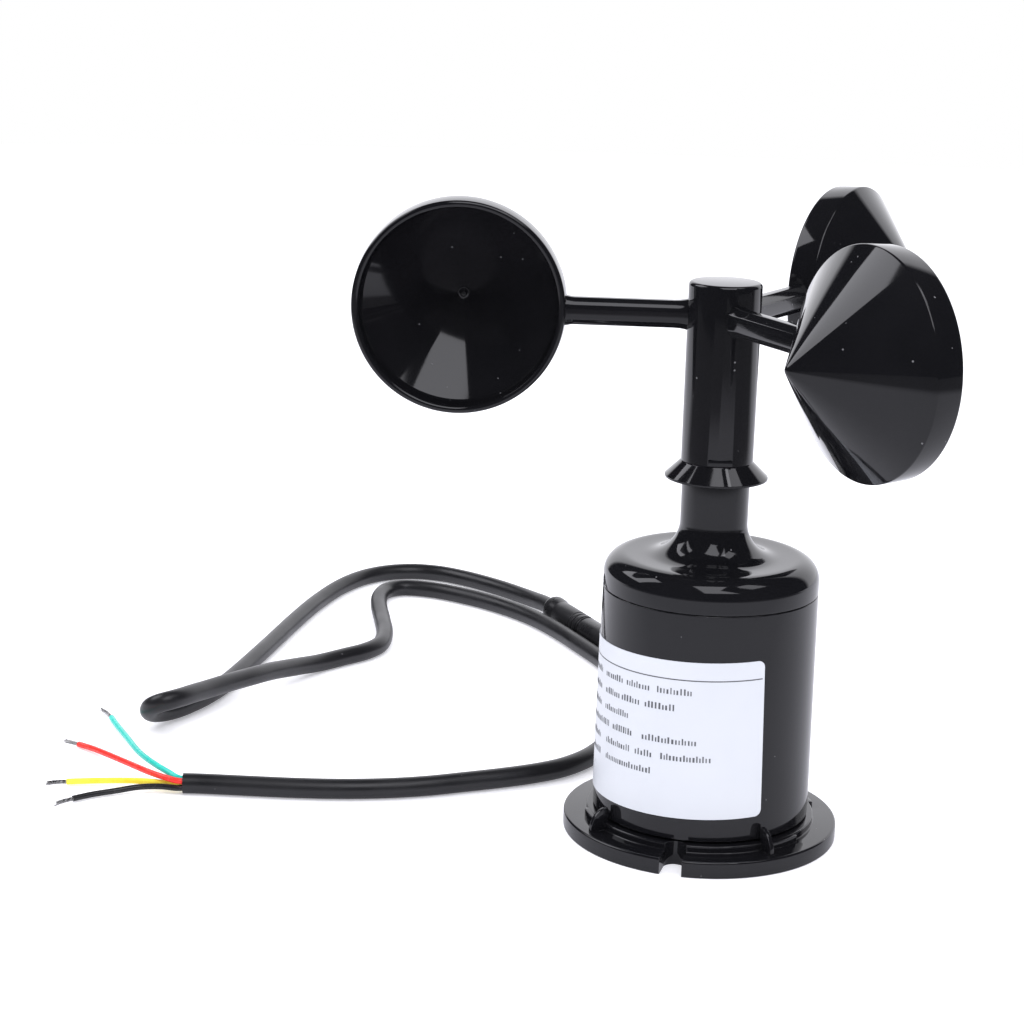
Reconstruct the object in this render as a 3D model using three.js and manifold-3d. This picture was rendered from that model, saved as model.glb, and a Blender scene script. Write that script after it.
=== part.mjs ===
// Three-cup anemometer: a flanged round housing, a shaft in two bearings, a rotor with three cups,
// and a free cable with an in-line connector and four stripped wires.
// Millimetres, +Z up. The origin is the centre of the underside; the mounting slots lie on -Y and +Y.
import * as THREE from 'three';
import { mergeVertices } from 'three/addons/utils/BufferGeometryUtils.js';
import Module from 'manifold-3d';

const wasm = await Module();
wasm.setup();

// ---------- driving dimensions ----------
const ROUND = 48; // facets of the large turned pieces
const SMALL = 20; // facets of the small turned pieces

const FLANGE_R = 32.5;
const FLANGE_T = 4.0;
const COLLAR_R = 27.0;
const COLLAR_TOP = 5.7;
const SLOT_W = 5.2;
const SLOT_IN = 25.0; // inner end of a mounting slot
const FIN_OFF = 44.5; // degrees from a slot to the fins beside it

const TUBE_BOTTOM = 6.2;
const TUBE_TOP = 60.0;
const TUBE_R_LOW = 25.6;
const TUBE_R_HIGH = 25.2;
const TUBE_IN = 23.0;

const CAP_BOTTOM = 60.4;
const CAP_TOP = 68.0; // height of the cap's flat crown
const SHOULDER = 5.0; // radius of the cap's rounded shoulder
const FLARE = 8.0; // radius of the flare into the neck
const NECK_R = 7.87;
const NECK_TOP = 87.6;

const BEARING_R = 5.5;
const BEARING_H = 4.0;
const SHAFT_R = 2.0;
const UPPER_BEARING_Z = 83.4;
const LOWER_BEARING_Z = 66.0;

const HUB_BOTTOM = 88.6;
const HUB_TOP = 132.0;
const HUB_R = 8.4;
const SKIRT_R = 11.95;
const SKIRT_BOTTOM = 86.4;

const ARM_Z = 124.0; // height of the arms' and cups' axes
const ARM_TALL = 6.3;
const ARM_WIDE = 5.0;
const ARM_SHIFT = -1.3; // the arm's axis, behind the radial line through the shaft
const CUP_REACH = 60.7; // shaft axis to cup axis
const CUP_RIM_OFF = 2.0; // rim plane, ahead of the radial line
const RIM_R = 24.5;
const CREASE_R = 24.9;
const CREASE_DEPTH = 6.7;
const CUP_DEPTH = 26.2;
const CUP_WALL = 1.6;
const ROTOR_TURN = 193.5; // direction of the first arm at rest, degrees from +X

const LABEL_FROM = -180.5;
const LABEL_TO = -45.5;
const LABEL_LOW = 11.3;
const LABEL_HIGH = 48.7;

const EXIT_TURN = 105; // direction in which the cable leaves the housing
const EXIT_Z = 16;
const CABLE_R = 2.5;
const CORE_R = 0.75;

// ---------- small helpers ----------
const rad = (degrees) => THREE.MathUtils.degToRad(degrees);

const onCircle = (r, degrees, z) => new THREE.Vector3(
  r * Math.cos(rad(degrees)), r * Math.sin(rad(degrees)), z);

function signedVolume(g) {
  const p = g.attributes.position;
  const idx = g.index;
  const a = new THREE.Vector3();
  const b = new THREE.Vector3();
  const c = new THREE.Vector3();
  let sum = 0;
  for (let i = 0; i < idx.count; i += 3) {
    a.fromBufferAttribute(p, idx.getX(i));
    b.fromBufferAttribute(p, idx.getX(i + 1));
    c.fromBufferAttribute(p, idx.getX(i + 2));
    sum += a.dot(b.cross(c));
  }
  return sum / 6;
}

// Welds the vertices, drops triangles of no area and turns every face outward.
function closed(geometry) {
  const bare = geometry.clone();
  bare.deleteAttribute('normal');
  bare.deleteAttribute('uv');
  const g = mergeVertices(bare, 1e-4);
  const kept = [];
  for (let i = 0; i < g.index.count; i += 3) {
    const t = [g.index.getX(i), g.index.getX(i + 1), g.index.getX(i + 2)];
    if (t[0] !== t[1] && t[1] !== t[2] && t[2] !== t[0]) kept.push(...t);
  }
  g.setIndex(kept);
  if (signedVolume(g) < 0) {
    for (let i = 0; i < kept.length; i += 3) [kept[i], kept[i + 1]] = [kept[i + 1], kept[i]];
    g.setIndex(kept);
  }
  return g;
}

function solid(geometry) {
  const g = closed(geometry);
  return new wasm.Manifold(new wasm.Mesh({
    numProp: 3,
    vertProperties: new Float32Array(g.attributes.position.array),
    triVerts: new Uint32Array(g.index.array),
  }));
}

function surface(manifold) {
  const mesh = manifold.getMesh();
  const g = new THREE.BufferGeometry();
  g.setAttribute('position', new THREE.BufferAttribute(new Float32Array(mesh.vertProperties), 3));
  g.setIndex(Array.from(mesh.triVerts));
  return g;
}

const cut = (body, tools) => surface(tools.reduce((m, t) => m.subtract(solid(t)), solid(body)));
const join = (body, more) => surface(more.reduce((m, t) => m.add(solid(t)), solid(body)));

// Turns a profile of [radius, height] pairs about the Z axis.
function turned(profile, facets = SMALL) {
  const g = new THREE.LatheGeometry(profile.map(([r, z]) => new THREE.Vector2(r, z)), facets);
  g.rotateX(Math.PI / 2);
  return g;
}

// A turned piece with a hole through it: the profile closes on itself.
const turnedRing = (profile, facets = SMALL) => turned([...profile, profile[0]], facets);

const ring = (inner, outer, low, high, facets = SMALL) => turnedRing(
  [[inner, low], [outer, low], [outer, high], [inner, high]], facets);

const rod = (r, low, high, facets = SMALL) => turned([[0, low], [r, low], [r, high], [0, high]], facets);

function box(sx, sy, sz, x, y, z) {
  const g = new THREE.BoxGeometry(sx, sy, sz);
  g.translate(x, y, z);
  return g;
}

// Points of a quarter or other part of a circle, for a profile.
function arc(cx, cz, r, from, to, steps) {
  const points = [];
  for (let i = 0; i <= steps; i += 1) {
    const t = rad(from + ((to - from) * i) / steps);
    points.push([cx + r * Math.cos(t), cz + r * Math.sin(t)]);
  }
  return points;
}

// Lays a piece made along +Z along a level direction, starting from the Z axis.
function alongLevel(g, degrees, x, y, z) {
  g.rotateY(Math.PI / 2);
  g.rotateZ(rad(degrees));
  g.translate(x, y, z);
  return g;
}

// A curve sampled per route point, so that a tight turn gets more sections than a straight run.
class Route extends THREE.CatmullRomCurve3 {
  getPointAt(t, target) {
    return this.getPoint(t, target);
  }

  getTangentAt(t, target) {
    return this.getTangent(t, target);
  }

  getSpacedPoints(n) {
    return this.getPoints(n);
  }
}

function tube(points, r, sides, stepsPerSpan) {
  const path = new Route(points.map(([x, y, z]) => new THREE.Vector3(x, y, z)), false, 'centripetal');
  const section = new THREE.Shape();
  for (let i = 0; i < sides; i += 1) {
    const t = (2 * Math.PI * i) / sides;
    const [x, y] = [r * Math.cos(t), r * Math.sin(t)];
    if (i === 0) section.moveTo(x, y);
    else section.lineTo(x, y);
  }
  section.closePath();
  const steps = (points.length - 1) * stepsPerSpan;
  return new THREE.ExtrudeGeometry(section, { steps, bevelEnabled: false, extrudePath: path });
}

// ---------- finishes ----------
const FINISH = {
  black_gloss: [0x0d0e12, 0.12, 0],
  black_satin: [0x1b1c20, 0.5, 0],
  label: [0xe6ebf5, 0.45, 0],
  steel: [0xb9bcc0, 0.28, 1],
  brass: [0xc7a04a, 0.3, 1],
  board: [0x1d6b3a, 0.5, 0],
  chip: [0x18181a, 0.45, 0],
  magnet: [0x9a9ca2, 0.3, 1],
  silicone: [0x3a3b40, 0.8, 0],
  teal: [0x2fc4b8, 0.4, 0],
  red: [0xe03128, 0.4, 0],
  yellow: [0xf0dc3c, 0.4, 0],
  tinned: [0xc9ccd0, 0.35, 1],
};

const group = new THREE.Group();

function add(name, geometry, finish) {
  const [color, roughness, metalness] = FINISH[finish];
  const material = new THREE.MeshStandardMaterial({ color, roughness, metalness });
  const mesh = new THREE.Mesh(closed(geometry), material);
  mesh.name = name;
  group.add(mesh);
}

// ---------- base ----------
const SCREW_TURNS = [30, 150, 270];
const SCREW_RING = 17.5;

// A mounting slot: open at the flange's edge, round at its inner end, up through the collar.
function slotTool(side) {
  const r = SLOT_W / 2;
  const middle = SLOT_IN + r;
  const [low, high] = [-1, 8.2];
  const round = rod(r, low, high, 24);
  round.translate(0, side * middle, 0);
  const run = box(SLOT_W, 12, high - low, 0, side * (middle + 6), (low + high) / 2);
  return [round, run];
}

function baseFin(degrees) {
  const outline = new THREE.Shape();
  outline.moveTo(26.4, FLANGE_T - 0.3);
  outline.lineTo(30.8, FLANGE_T - 0.3);
  outline.quadraticCurveTo(30.4, 8.4, 26.4, 9.4);
  outline.closePath();
  const g = new THREE.ExtrudeGeometry(outline, { depth: 1.1, bevelEnabled: false, curveSegments: 6 });
  g.translate(0, 0, -0.55);
  g.rotateX(Math.PI / 2);
  g.rotateZ(rad(degrees));
  return g;
}

function baseFlange() {
  const disc = turned([
    [0, 0], [FLANGE_R - 0.5, 0], [FLANGE_R, 0.5], [FLANGE_R, FLANGE_T - 0.5], [FLANGE_R - 0.5, FLANGE_T],
    [COLLAR_R, FLANGE_T], [COLLAR_R, COLLAR_TOP - 0.4], [COLLAR_R - 0.4, COLLAR_TOP], [22.6, COLLAR_TOP],
    [22.6, 6.6], [21.6, 6.6], [21.6, 8.4], [22.6, 8.4], [22.6, 9.5], [20.8, 9.5],
    [20.8, FLANGE_T], [0, FLANGE_T],
  ], ROUND);
  const bosses = SCREW_TURNS.map((turn) => {
    const g = rod(4, 2, 9.5, 24);
    g.translate(...onCircle(SCREW_RING, turn, 0));
    return g;
  });
  const fins = [90, -90].flatMap((slot) => [baseFin(slot - FIN_OFF), baseFin(slot + FIN_OFF)]);
  const holes = SCREW_TURNS.map((turn) => {
    const g = turned([[0, -1], [3.1, -1], [3.1, 2.6], [1.75, 2.6], [1.75, 12], [0, 12]], 24);
    g.translate(...onCircle(SCREW_RING, turn, 0));
    return g;
  });
  return cut(join(disc, [...bosses, ...fins]), [...slotTool(-1), ...slotTool(1), ...holes]);
}

function baseScrew(turn) {
  const g = turned([
    [0, 0.9], [0.9, 0.4], [2.7, 0.4], [2.7, 1.6], [2.3, 2.3], [1.4, 2.3], [1.4, 19], [0.8, 20], [0, 20],
  ], 12);
  g.translate(...onCircle(SCREW_RING, turn, 0));
  return g;
}

const sealRing = (r, z) => turnedRing(arc(r, z, 0.55, 0, 300, 5), 36);

// ---------- housing ----------
function housingTube() {
  const wall = turnedRing([
    [TUBE_IN, TUBE_BOTTOM], [TUBE_R_LOW - 0.3, TUBE_BOTTOM], [TUBE_R_LOW, TUBE_BOTTOM + 0.3],
    [TUBE_R_HIGH, TUBE_TOP - 0.2], [TUBE_R_HIGH - 0.2, TUBE_TOP], [TUBE_IN, TUBE_TOP],
  ], ROUND);
  const pillars = SCREW_TURNS.map((turn) => {
    const g = box(8.4, 7, 34, SCREW_RING + 2, 0, 27);
    g.rotateZ(rad(turn));
    return g;
  });
  const bores = SCREW_TURNS.map((turn) => {
    const g = rod(1.75, 5, 24, 16);
    g.translate(...onCircle(SCREW_RING, turn, 0));
    return g;
  });
  const exit = alongLevel(rod(4.3, 15, 30, 24), EXIT_TURN, 0, 0, EXIT_Z);
  return cut(join(wall, pillars), [...bores, exit]);
}

function nameLabel() {
  const outline = new THREE.Shape();
  outline.absarc(0, 0, 26.1, rad(LABEL_FROM), rad(LABEL_TO), false);
  outline.absarc(0, 0, 25.8, rad(LABEL_TO), rad(LABEL_FROM), true);
  const g = new THREE.ExtrudeGeometry(outline, {
    depth: LABEL_HIGH - LABEL_LOW, bevelEnabled: false, curveSegments: 27,
  });
  g.translate(0, 0, LABEL_LOW);
  return g;
}

function topCap() {
  const shoulderX = TUBE_R_HIGH - SHOULDER;
  const flareX = NECK_R + FLARE;
  const shell = turnedRing([
    [22.7, CAP_BOTTOM], [TUBE_R_HIGH - 0.2, CAP_BOTTOM], [TUBE_R_HIGH, CAP_BOTTOM + 0.2],
    ...arc(shoulderX, CAP_TOP - SHOULDER, SHOULDER, 0, 90, 5),
    [18, CAP_TOP - 0.15],
    ...arc(flareX, CAP_TOP + FLARE - 0.1, FLARE, 270, 180, 6),
    [NECK_R, NECK_TOP - 0.3], [NECK_R - 0.3, NECK_TOP],
    [BEARING_R + 0.1, NECK_TOP], [BEARING_R + 0.1, UPPER_BEARING_Z - 0.2], [4.5, UPPER_BEARING_Z - 0.2],
    [4.5, LOWER_BEARING_Z + BEARING_H + 0.2], [BEARING_R + 0.1, LOWER_BEARING_Z + BEARING_H + 0.2],
    [BEARING_R + 0.1, 65.2], [18.5, 65.2], [20.6, 62.5], [20.6, 56],
    [22.7, 56], [22.7, 57.2], [21.7, 57.2], [21.7, 59], [22.7, 59],
  ], ROUND);
  const posts = SCREW_TURNS.map((turn) => {
    const g = ring(1.35, 2.6, 54, 66, 20);
    g.translate(...onCircle(15, turn, 0));
    return g;
  });
  return join(shell, posts);
}

// ---------- electronics ----------
function circuitBoard() {
  const outline = new THREE.Shape();
  outline.absarc(0, 0, 19.4, 0, 2 * Math.PI, false);
  SCREW_TURNS.forEach((turn) => {
    const c = onCircle(15, turn, 0);
    const hole = new THREE.Path();
    hole.absarc(c.x, c.y, 1.5, 0, 2 * Math.PI, true);
    outline.holes.push(hole);
  });
  const g = new THREE.ExtrudeGeometry(outline, { depth: 1.6, bevelEnabled: false, curveSegments: 12 });
  g.translate(0, 0, 52);
  return g;
}

function boardScrew(turn) {
  const g = turned([
    [0, 49.6], [1.9, 49.9], [2.3, 50.6], [2.3, 51.7], [1.05, 51.7], [1.05, 60], [0, 60],
  ], 12);
  g.translate(...onCircle(15, turn, 0));
  return g;
}

function capacitor() {
  const g = turned([[0, 43.7], [2.9, 43.7], [3.15, 44.2], [3.15, 51.7], [0, 51.7]]);
  g.translate(9, -6, 0);
  return g;
}

// ---------- shaft, bearings, rotor ----------
const bearingOuter = (z) => ring(4.4, BEARING_R, z, z + BEARING_H, 24);
const bearingInner = (z) => ring(2.06, 3.0, z, z + BEARING_H, 24);
const bearingShield = (z) => ring(3.12, 4.28, z + 0.4, z + BEARING_H - 0.4, 24);

const shaft = () => turned([
  [0, 57.4], [SHAFT_R - 0.3, 57.4], [SHAFT_R, 57.8], [SHAFT_R, 64.3], [1.7, 64.3], [1.7, 65],
  [SHAFT_R, 65], [SHAFT_R, 121.2], [SHAFT_R - 0.4, 121.8], [0, 121.8],
], 24);

function retainingRing() {
  const outline = new THREE.Shape();
  outline.absarc(0, 0, 3.6, rad(25), rad(335), false);
  outline.absarc(0, 0, 1.85, rad(335), rad(25), true);
  const g = new THREE.ExtrudeGeometry(outline, { depth: 0.4, bevelEnabled: false, curveSegments: 10 });
  g.translate(0, 0, 64.45);
  return g;
}

function magnetCarrier() {
  const disc = ring(2.06, 8, 57.8, 61.4, 24);
  const pockets = [0, 180].map((turn) => rod(1.7, 57, 59.8, 16).translate(...onCircle(5.6, turn, 0)));
  return cut(disc, pockets);
}

const magnet = (turn) => rod(1.5, 57.9, 59.6, 16).translate(...onCircle(5.6, turn, 0));

const hubInsert = () => turnedRing([
  [2.06, 89], [3.5, 89], [3.5, 92], [3.1, 92.4], [3.1, 93.6], [3.5, 94], [3.5, 104], [2.06, 104],
], 24);

const rotorHub = () => turned([
  [0, HUB_TOP], [HUB_R - 1.1, HUB_TOP], [HUB_R - 0.4, HUB_TOP - 0.3], [HUB_R, HUB_TOP - 1],
  [HUB_R - 0.05, 90.1], [SKIRT_R, SKIRT_BOTTOM + 0.45], [SKIRT_R, SKIRT_BOTTOM],
  [SKIRT_R - 0.6, SKIRT_BOTTOM], [8.7, HUB_BOTTOM], [3.8, HUB_BOTTOM], [3.8, 104.4],
  [2.3, 104.4], [2.3, 122.2], [0, 122.2],
], ROUND);

// An arm with an eight-sided section, ridged along its middle where the mould parts.
function arm(turn) {
  const [w, h] = [ARM_WIDE / 2, ARM_TALL / 2];
  const outline = new THREE.Shape();
  const corners = [
    [-h, -w * 0.45], [-h, w * 0.45], [-h * 0.6, w * 0.92], [0, w], [h * 0.6, w * 0.92],
    [h, w * 0.45], [h, -w * 0.45], [h * 0.6, -w * 0.92], [0, -w], [-h * 0.6, -w * 0.92],
  ];
  corners.forEach(([x, y], i) => (i === 0 ? outline.moveTo(x, y) : outline.lineTo(x, y)));
  outline.closePath();
  const g = new THREE.ExtrudeGeometry(outline, { depth: 26.9, bevelEnabled: false });
  g.translate(0, ARM_SHIFT, 8.8);
  return alongLevel(g, turn, 0, 0, ARM_Z);
}

function cup(turn) {
  const inner = RIM_R - CUP_WALL;
  const g = turned([
    [0, CUP_DEPTH], [1.2, CUP_DEPTH - 0.6], [CREASE_R - 0.2, CREASE_DEPTH + 0.2],
    [CREASE_R, CREASE_DEPTH - 0.2], [RIM_R, 0.3], [RIM_R - 0.3, 0], [inner + 0.1, 0],
    [inner + 0.1, CREASE_DEPTH - 1.5], [inner - 0.4, CREASE_DEPTH - 0.8], [1.2, 22.6], [0, 23.0],
  ], ROUND);
  g.rotateX(Math.PI / 2);
  g.translate(CUP_REACH, CUP_RIM_OFF, 0);
  // the cup's depth runs from the rim towards -Y here, so the mouth faces +Y before the turn
  g.rotateZ(rad(turn));
  g.translate(0, 0, ARM_Z);
  return g;
}

// ---------- cable outlet ----------
function grommet() {
  const g = turnedRing([
    [2.8, 19.4], [5.8, 19.4], [5.8, 21.4], [4.0, 21.8], [4.0, 25.9], [6.2, 26.1], [6.2, 27.6], [5.6, 28.2],
    [4.6, 28.4], [4.4, 31], [3.9, 31.3], [3.9, 32], [4.2, 32.3], [3.5, 37], [2.8, 37],
  ], 24);
  return alongLevel(g, EXIT_TURN, 0, 0, EXIT_Z);
}

// ---------- in-line connector, along one level line from the main cable's end ----------
const LINK = { x: -76.6, y: 152.9, z: 4.15, turn: -50 };

function plugHalf() {
  const g = turned([
    [0, 9.4], [2.8, 9.4], [2.8, 0], [3.7, 0], [4.05, 0.5], [4.05, 1.6], [3.75, 3.4], [3.6, 6], [3.7, 9],
    [3.7, 19.4], [2.3, 19.4], [2.3, 26], [0, 26],
  ], 24);
  return alongLevel(g, LINK.turn, LINK.x, LINK.y, LINK.z);
}

function socketHalf() {
  const g = turned([
    [0, 34.2], [2.8, 34.2], [2.8, 43.5], [3.7, 43.5], [4.05, 43], [4.05, 41.8], [3.75, 40], [3.6, 37.5],
    [3.7, 34.5], [3.7, 23.6], [3.25, 23.3], [3.25, 22.4], [3.7, 22.1], [3.7, 19.8],
    [2.65, 19.8], [2.65, 27.6], [0, 27.6],
  ], 24);
  return alongLevel(g, LINK.turn, LINK.x, LINK.y, LINK.z);
}

// ---------- cable routes, chosen by hand ----------
const TAIL_ROUTE = [
  [-3.6, 13.5, 16], [-6.5, 24.1, 16], [-9.8, 36.7, 16], [-12, 45, 14.6], [-14.5, 53, 10.6],
  [-17, 61, 6.2], [-19.8, 69, 3.4], [-22.7, 77, 2.7], [-26.4, 85.5, 2.6], [-30.8, 94, 2.7],
  [-35.7, 102.2, 3.1], [-41.6, 111, 3.8], [-48.6, 119.6, 4.15], [-53.7, 125.6, 4.15],
];
const MAIN_ROUTE = [
  [-71.5, 146.8, 4.15], [-76.6, 152.9, 4.15], [-80.8, 158, 3.8], [-86, 163.6, 3.1],
  [-92.2, 168.9, 2.7], [-99.7, 174, 2.6], [-107.3, 178, 2.6], [-114.8, 181.2, 2.6],
  [-123, 183.2, 2.6], [-131, 182.5, 2.6], [-138, 178.5, 2.6], [-143.5, 171, 2.6],
  [-147, 158.5, 2.6], [-148.2, 139, 2.6], [-147.5, 116.5, 2.6], [-146, 93, 2.6],
  [-145, 76, 2.6], [-144.3, 61, 2.6], [-144.2, 49.5, 2.6], [-145, 41, 2.6],
  [-146.2, 35, 2.6], [-147.6, 29.5, 2.7], [-149.2, 25, 3], [-150.4, 20.5, 4],
  [-150, 16.2, 6], [-148, 13.2, 8.4], [-145.2, 12.3, 10], [-142.8, 13.8, 10.6],
  [-141.2, 17.5, 10.5], [-140.3, 22.5, 10], [-139.2, 29, 9.2], [-137.8, 35.5, 8.6],
  [-136.2, 42, 8], [-134.4, 49, 7.3], [-132.4, 59, 6], [-129.6, 71, 4],
  [-126.2, 80.5, 2.7], [-121.8, 88.5, 2.6], [-117.8, 95.5, 2.6], [-116, 103, 2.6],
  [-118, 113.5, 2.6], [-123.5, 127.5, 2.6], [-129.3, 141.5, 2.6], [-132.3, 151.5, 2.6],
  [-132.2, 158.5, 2.6], [-129.2, 162.6, 2.6], [-124.8, 164, 2.6], [-117, 163.7, 2.6],
  [-108, 161.2, 2.6], [-99, 157.5, 2.6], [-90, 152.4, 2.6], [-80.5, 145.3, 2.6],
  [-70.7, 135.5, 2.6], [-60.5, 123.5, 2.6], [-54, 115.6, 2.6], [-47, 106.4, 2.6],
  [-40.3, 96, 2.6], [-34.8, 83.5, 2.6], [-32, 68, 2.6], [-32.3, 51, 2.6],
  [-34, 36, 2.6], [-36, 28.5, 2.6], [-39.8, 21, 2.6], [-45.2, 14.8, 2.6],
  [-52.5, 8.5, 2.6], [-60, 2.8, 2.6], [-67.5, -2.7, 2.6], [-75.5, -7.3, 2.6],
  [-86, -11.8, 2.6], [-97.5, -15.3, 2.6], [-109, -18, 2.6], [-120.5, -20.6, 2.6],
  [-124.2, -21.7, 2.6],
];
const WIRE_ROUTES = {
  teal: [
    [-125.6, -21.2, 3.6], [-129, -19.6, 4.1], [-132.7, -17, 4.2], [-137, -13, 3.9],
    [-143, -6, 3], [-151.5, 5.5, 2], [-160, 16.8, 1.2], [-163, 21, 1],
  ],
  red: [
    [-125.3, -23.1, 3.6], [-129.5, -22.2, 3.8], [-133.8, -20, 3.6], [-142.5, -14, 2.9],
    [-153, -6.5, 1.9], [-157.5, -3.2, 1.3], [-162, -1, 1],
  ],
  yellow: [
    [-125.9, -21.3, 1.7], [-130.5, -21.6, 1.9], [-135.5, -22, 1.8], [-144.5, -23.6, 1.3],
    [-153, -26.6, 1],
  ],
  black: [
    [-125.3, -23.2, 1.7], [-129, -23.7, 1.8], [-134.3, -25.2, 1.5], [-139, -28.5, 1.1],
    [-143.5, -32.6, 1], [-146.5, -36.6, 1],
  ],
};
const WIRE_TIPS = {
  teal: [[-163.2, 21.3, 1], [-168.4, 26.2, 1]],
  red: [[-162.4, -0.9, 1], [-166.4, -0.2, 1.1]],
  yellow: [[-153.3, -26.8, 1], [-157.2, -29.4, 1]],
  black: [[-146.7, -36.9, 1], [-149.2, -41.2, 0.9]],
};
const WIRE_FINISH = { teal: 'teal', red: 'red', yellow: 'yellow', black: 'black_satin' };

// The four inner leads climb from the tail's end to the board's header, as two rows of two.
function innerLead(i) {
  const [dx, dz, y] = [[-1, 0.9, 9.4], [1, 0.9, 9.4], [-1, -0.9, 7.2], [1, -0.9, 7.2]][i];
  return tube([
    [-3.4 + dx, 13.1, EXIT_Z + dz], [-3.4 + dx, y + 1.4, EXIT_Z + dz + 0.6],
    [-3.4 + dx, y, EXIT_Z + dz + 2.6], [-4.4 + dx * 1.6, y, 34], [-5.5 + dx * 2.6, y, 45.4],
  ], 0.6, 6, 3);
}

// ---------- assembly ----------
add('base_flange', baseFlange(), 'black_gloss');
SCREW_TURNS.forEach((turn, i) => add(`base_screw_${i + 1}`, baseScrew(turn), 'steel'));
add('base_seal', sealRing(22.3, 7.5), 'silicone');
add('housing_tube', housingTube(), 'black_gloss');
add('name_label', nameLabel(), 'label');
add('top_cap', topCap(), 'black_gloss');
add('cap_seal', sealRing(22.35, 58.1), 'silicone');

add('circuit_board', circuitBoard(), 'board');
SCREW_TURNS.forEach((turn, i) => add(`board_screw_${i + 1}`, boardScrew(turn), 'steel'));
add('hall_sensor', box(4, 3, 1.5, 5.6, 0, 54.7), 'chip');
add('controller_chip', box(7, 7, 1.1, -6.5, -5.5, 51.1), 'chip');
add('regulator_chip', box(6.4, 3.6, 1.6, 6.4, 2.2, 50.9), 'chip');
add('smoothing_capacitor', capacitor(), 'chip');
add('board_header', box(10.4, 5, 6, -5.5, 8.2, 48.7), 'chip');

add('shaft', shaft(), 'steel');
[['upper', UPPER_BEARING_Z], ['lower', LOWER_BEARING_Z]].forEach(([where, z]) => {
  add(`${where}_bearing_outer`, bearingOuter(z), 'steel');
  add(`${where}_bearing_shield`, bearingShield(z), 'steel');
  add(`${where}_bearing_inner`, bearingInner(z), 'steel');
});
add('retaining_ring', retainingRing(), 'steel');
add('magnet_carrier', magnetCarrier(), 'black_satin');
[0, 180].forEach((turn, i) => add(`magnet_${i + 1}`, magnet(turn), 'magnet'));
add('hub_insert', hubInsert(), 'brass');
add('rotor_hub', rotorHub(), 'black_gloss');
[0, 120, 240].forEach((step, i) => {
  add(`arm_${i + 1}`, arm(ROTOR_TURN + step), 'black_gloss');
  add(`cup_${i + 1}`, cup(ROTOR_TURN + step), 'black_gloss');
});

add('cable_grommet', grommet(), 'silicone');
['teal', 'red', 'yellow', 'black_satin'].forEach((finish, i) => {
  add(`inner_lead_${i + 1}`, innerLead(i), finish);
});
add('tail_cable', tube(TAIL_ROUTE, CABLE_R, 8, 2), 'black_satin');
add('socket_half', socketHalf(), 'black_satin');
add('plug_half', plugHalf(), 'black_satin');
add('main_cable', tube(MAIN_ROUTE, CABLE_R, 8, 2), 'black_satin');
Object.entries(WIRE_ROUTES).forEach(([name, route]) => {
  add(`wire_${name}`, tube(route, CORE_R, 8, 2), WIRE_FINISH[name]);
  add(`wire_tip_${name}`, tube(WIRE_TIPS[name], 0.55, 8, 2), 'tinned');
});

export default group;
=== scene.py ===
"""Three-cup anemometer on its free cable: the visual model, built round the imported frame.

Metres, +Z up, origin at the middle of the base's underside, as in the frame. Sizes in the classes are
in millimetres, as on a drawing, and become metres where a mesh is made.
"""
import logging
import math
import random
from contextlib import contextmanager
from dataclasses import dataclass, field
from enum import Enum
from typing import Callable, Iterator, Sequence

import bmesh
import bpy
from mathutils import Matrix, Vector


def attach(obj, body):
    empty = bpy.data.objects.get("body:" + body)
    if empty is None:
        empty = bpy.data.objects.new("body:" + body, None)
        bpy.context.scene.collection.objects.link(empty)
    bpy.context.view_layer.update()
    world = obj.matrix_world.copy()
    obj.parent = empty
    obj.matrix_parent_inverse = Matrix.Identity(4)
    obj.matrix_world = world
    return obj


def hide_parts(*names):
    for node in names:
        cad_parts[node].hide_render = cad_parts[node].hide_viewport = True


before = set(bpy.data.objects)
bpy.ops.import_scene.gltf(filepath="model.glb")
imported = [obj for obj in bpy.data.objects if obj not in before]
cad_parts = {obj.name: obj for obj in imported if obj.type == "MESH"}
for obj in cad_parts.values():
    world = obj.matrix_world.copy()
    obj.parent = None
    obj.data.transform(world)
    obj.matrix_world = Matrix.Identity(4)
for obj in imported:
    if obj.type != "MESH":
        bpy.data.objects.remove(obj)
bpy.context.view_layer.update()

MM = 0.001
MERGE = 0.001 * MM
LONGEST_REACH = 0.49

Pair = tuple[float, float]
Corner = tuple[float, float, float]
Point = tuple[float, float, float]
Colour = tuple[float, float, float]

log = logging.getLogger("anemometer")


class Body(str, Enum):
    """The bodies of the frame that a piece can ride on."""

    HOUSING = "housing"
    ROTOR = "rotor"


class Join(str, Enum):
    """How a boolean modifier puts two solids together."""

    ADD = "UNION"
    CUT = "DIFFERENCE"


# ---------------------------------------------------------------- drawing aids

def direction(degrees: float) -> Vector:
    """Level unit vector that points in a direction, counted from +X."""
    return Vector((math.cos(math.radians(degrees)), math.sin(math.radians(degrees)), 0.0))


def arc(middle: Pair, radius: float, start: float, end: float, steps: int) -> list[Pair]:
    """Points of part of a circle in a turning profile.

    Args:
        middle: radius and height of the circle's centre.
        radius: the circle's radius.
        start: first angle in degrees, 0 pointing outward and 90 up.
        end: last angle in degrees.
        steps: number of chords.

    Returns:
        The points, both ends among them.
    """
    angles = [math.radians(start + (end - start) * i / steps) for i in range(steps + 1)]
    return [(middle[0] + radius * math.cos(a), middle[1] + radius * math.sin(a)) for a in angles]


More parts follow.
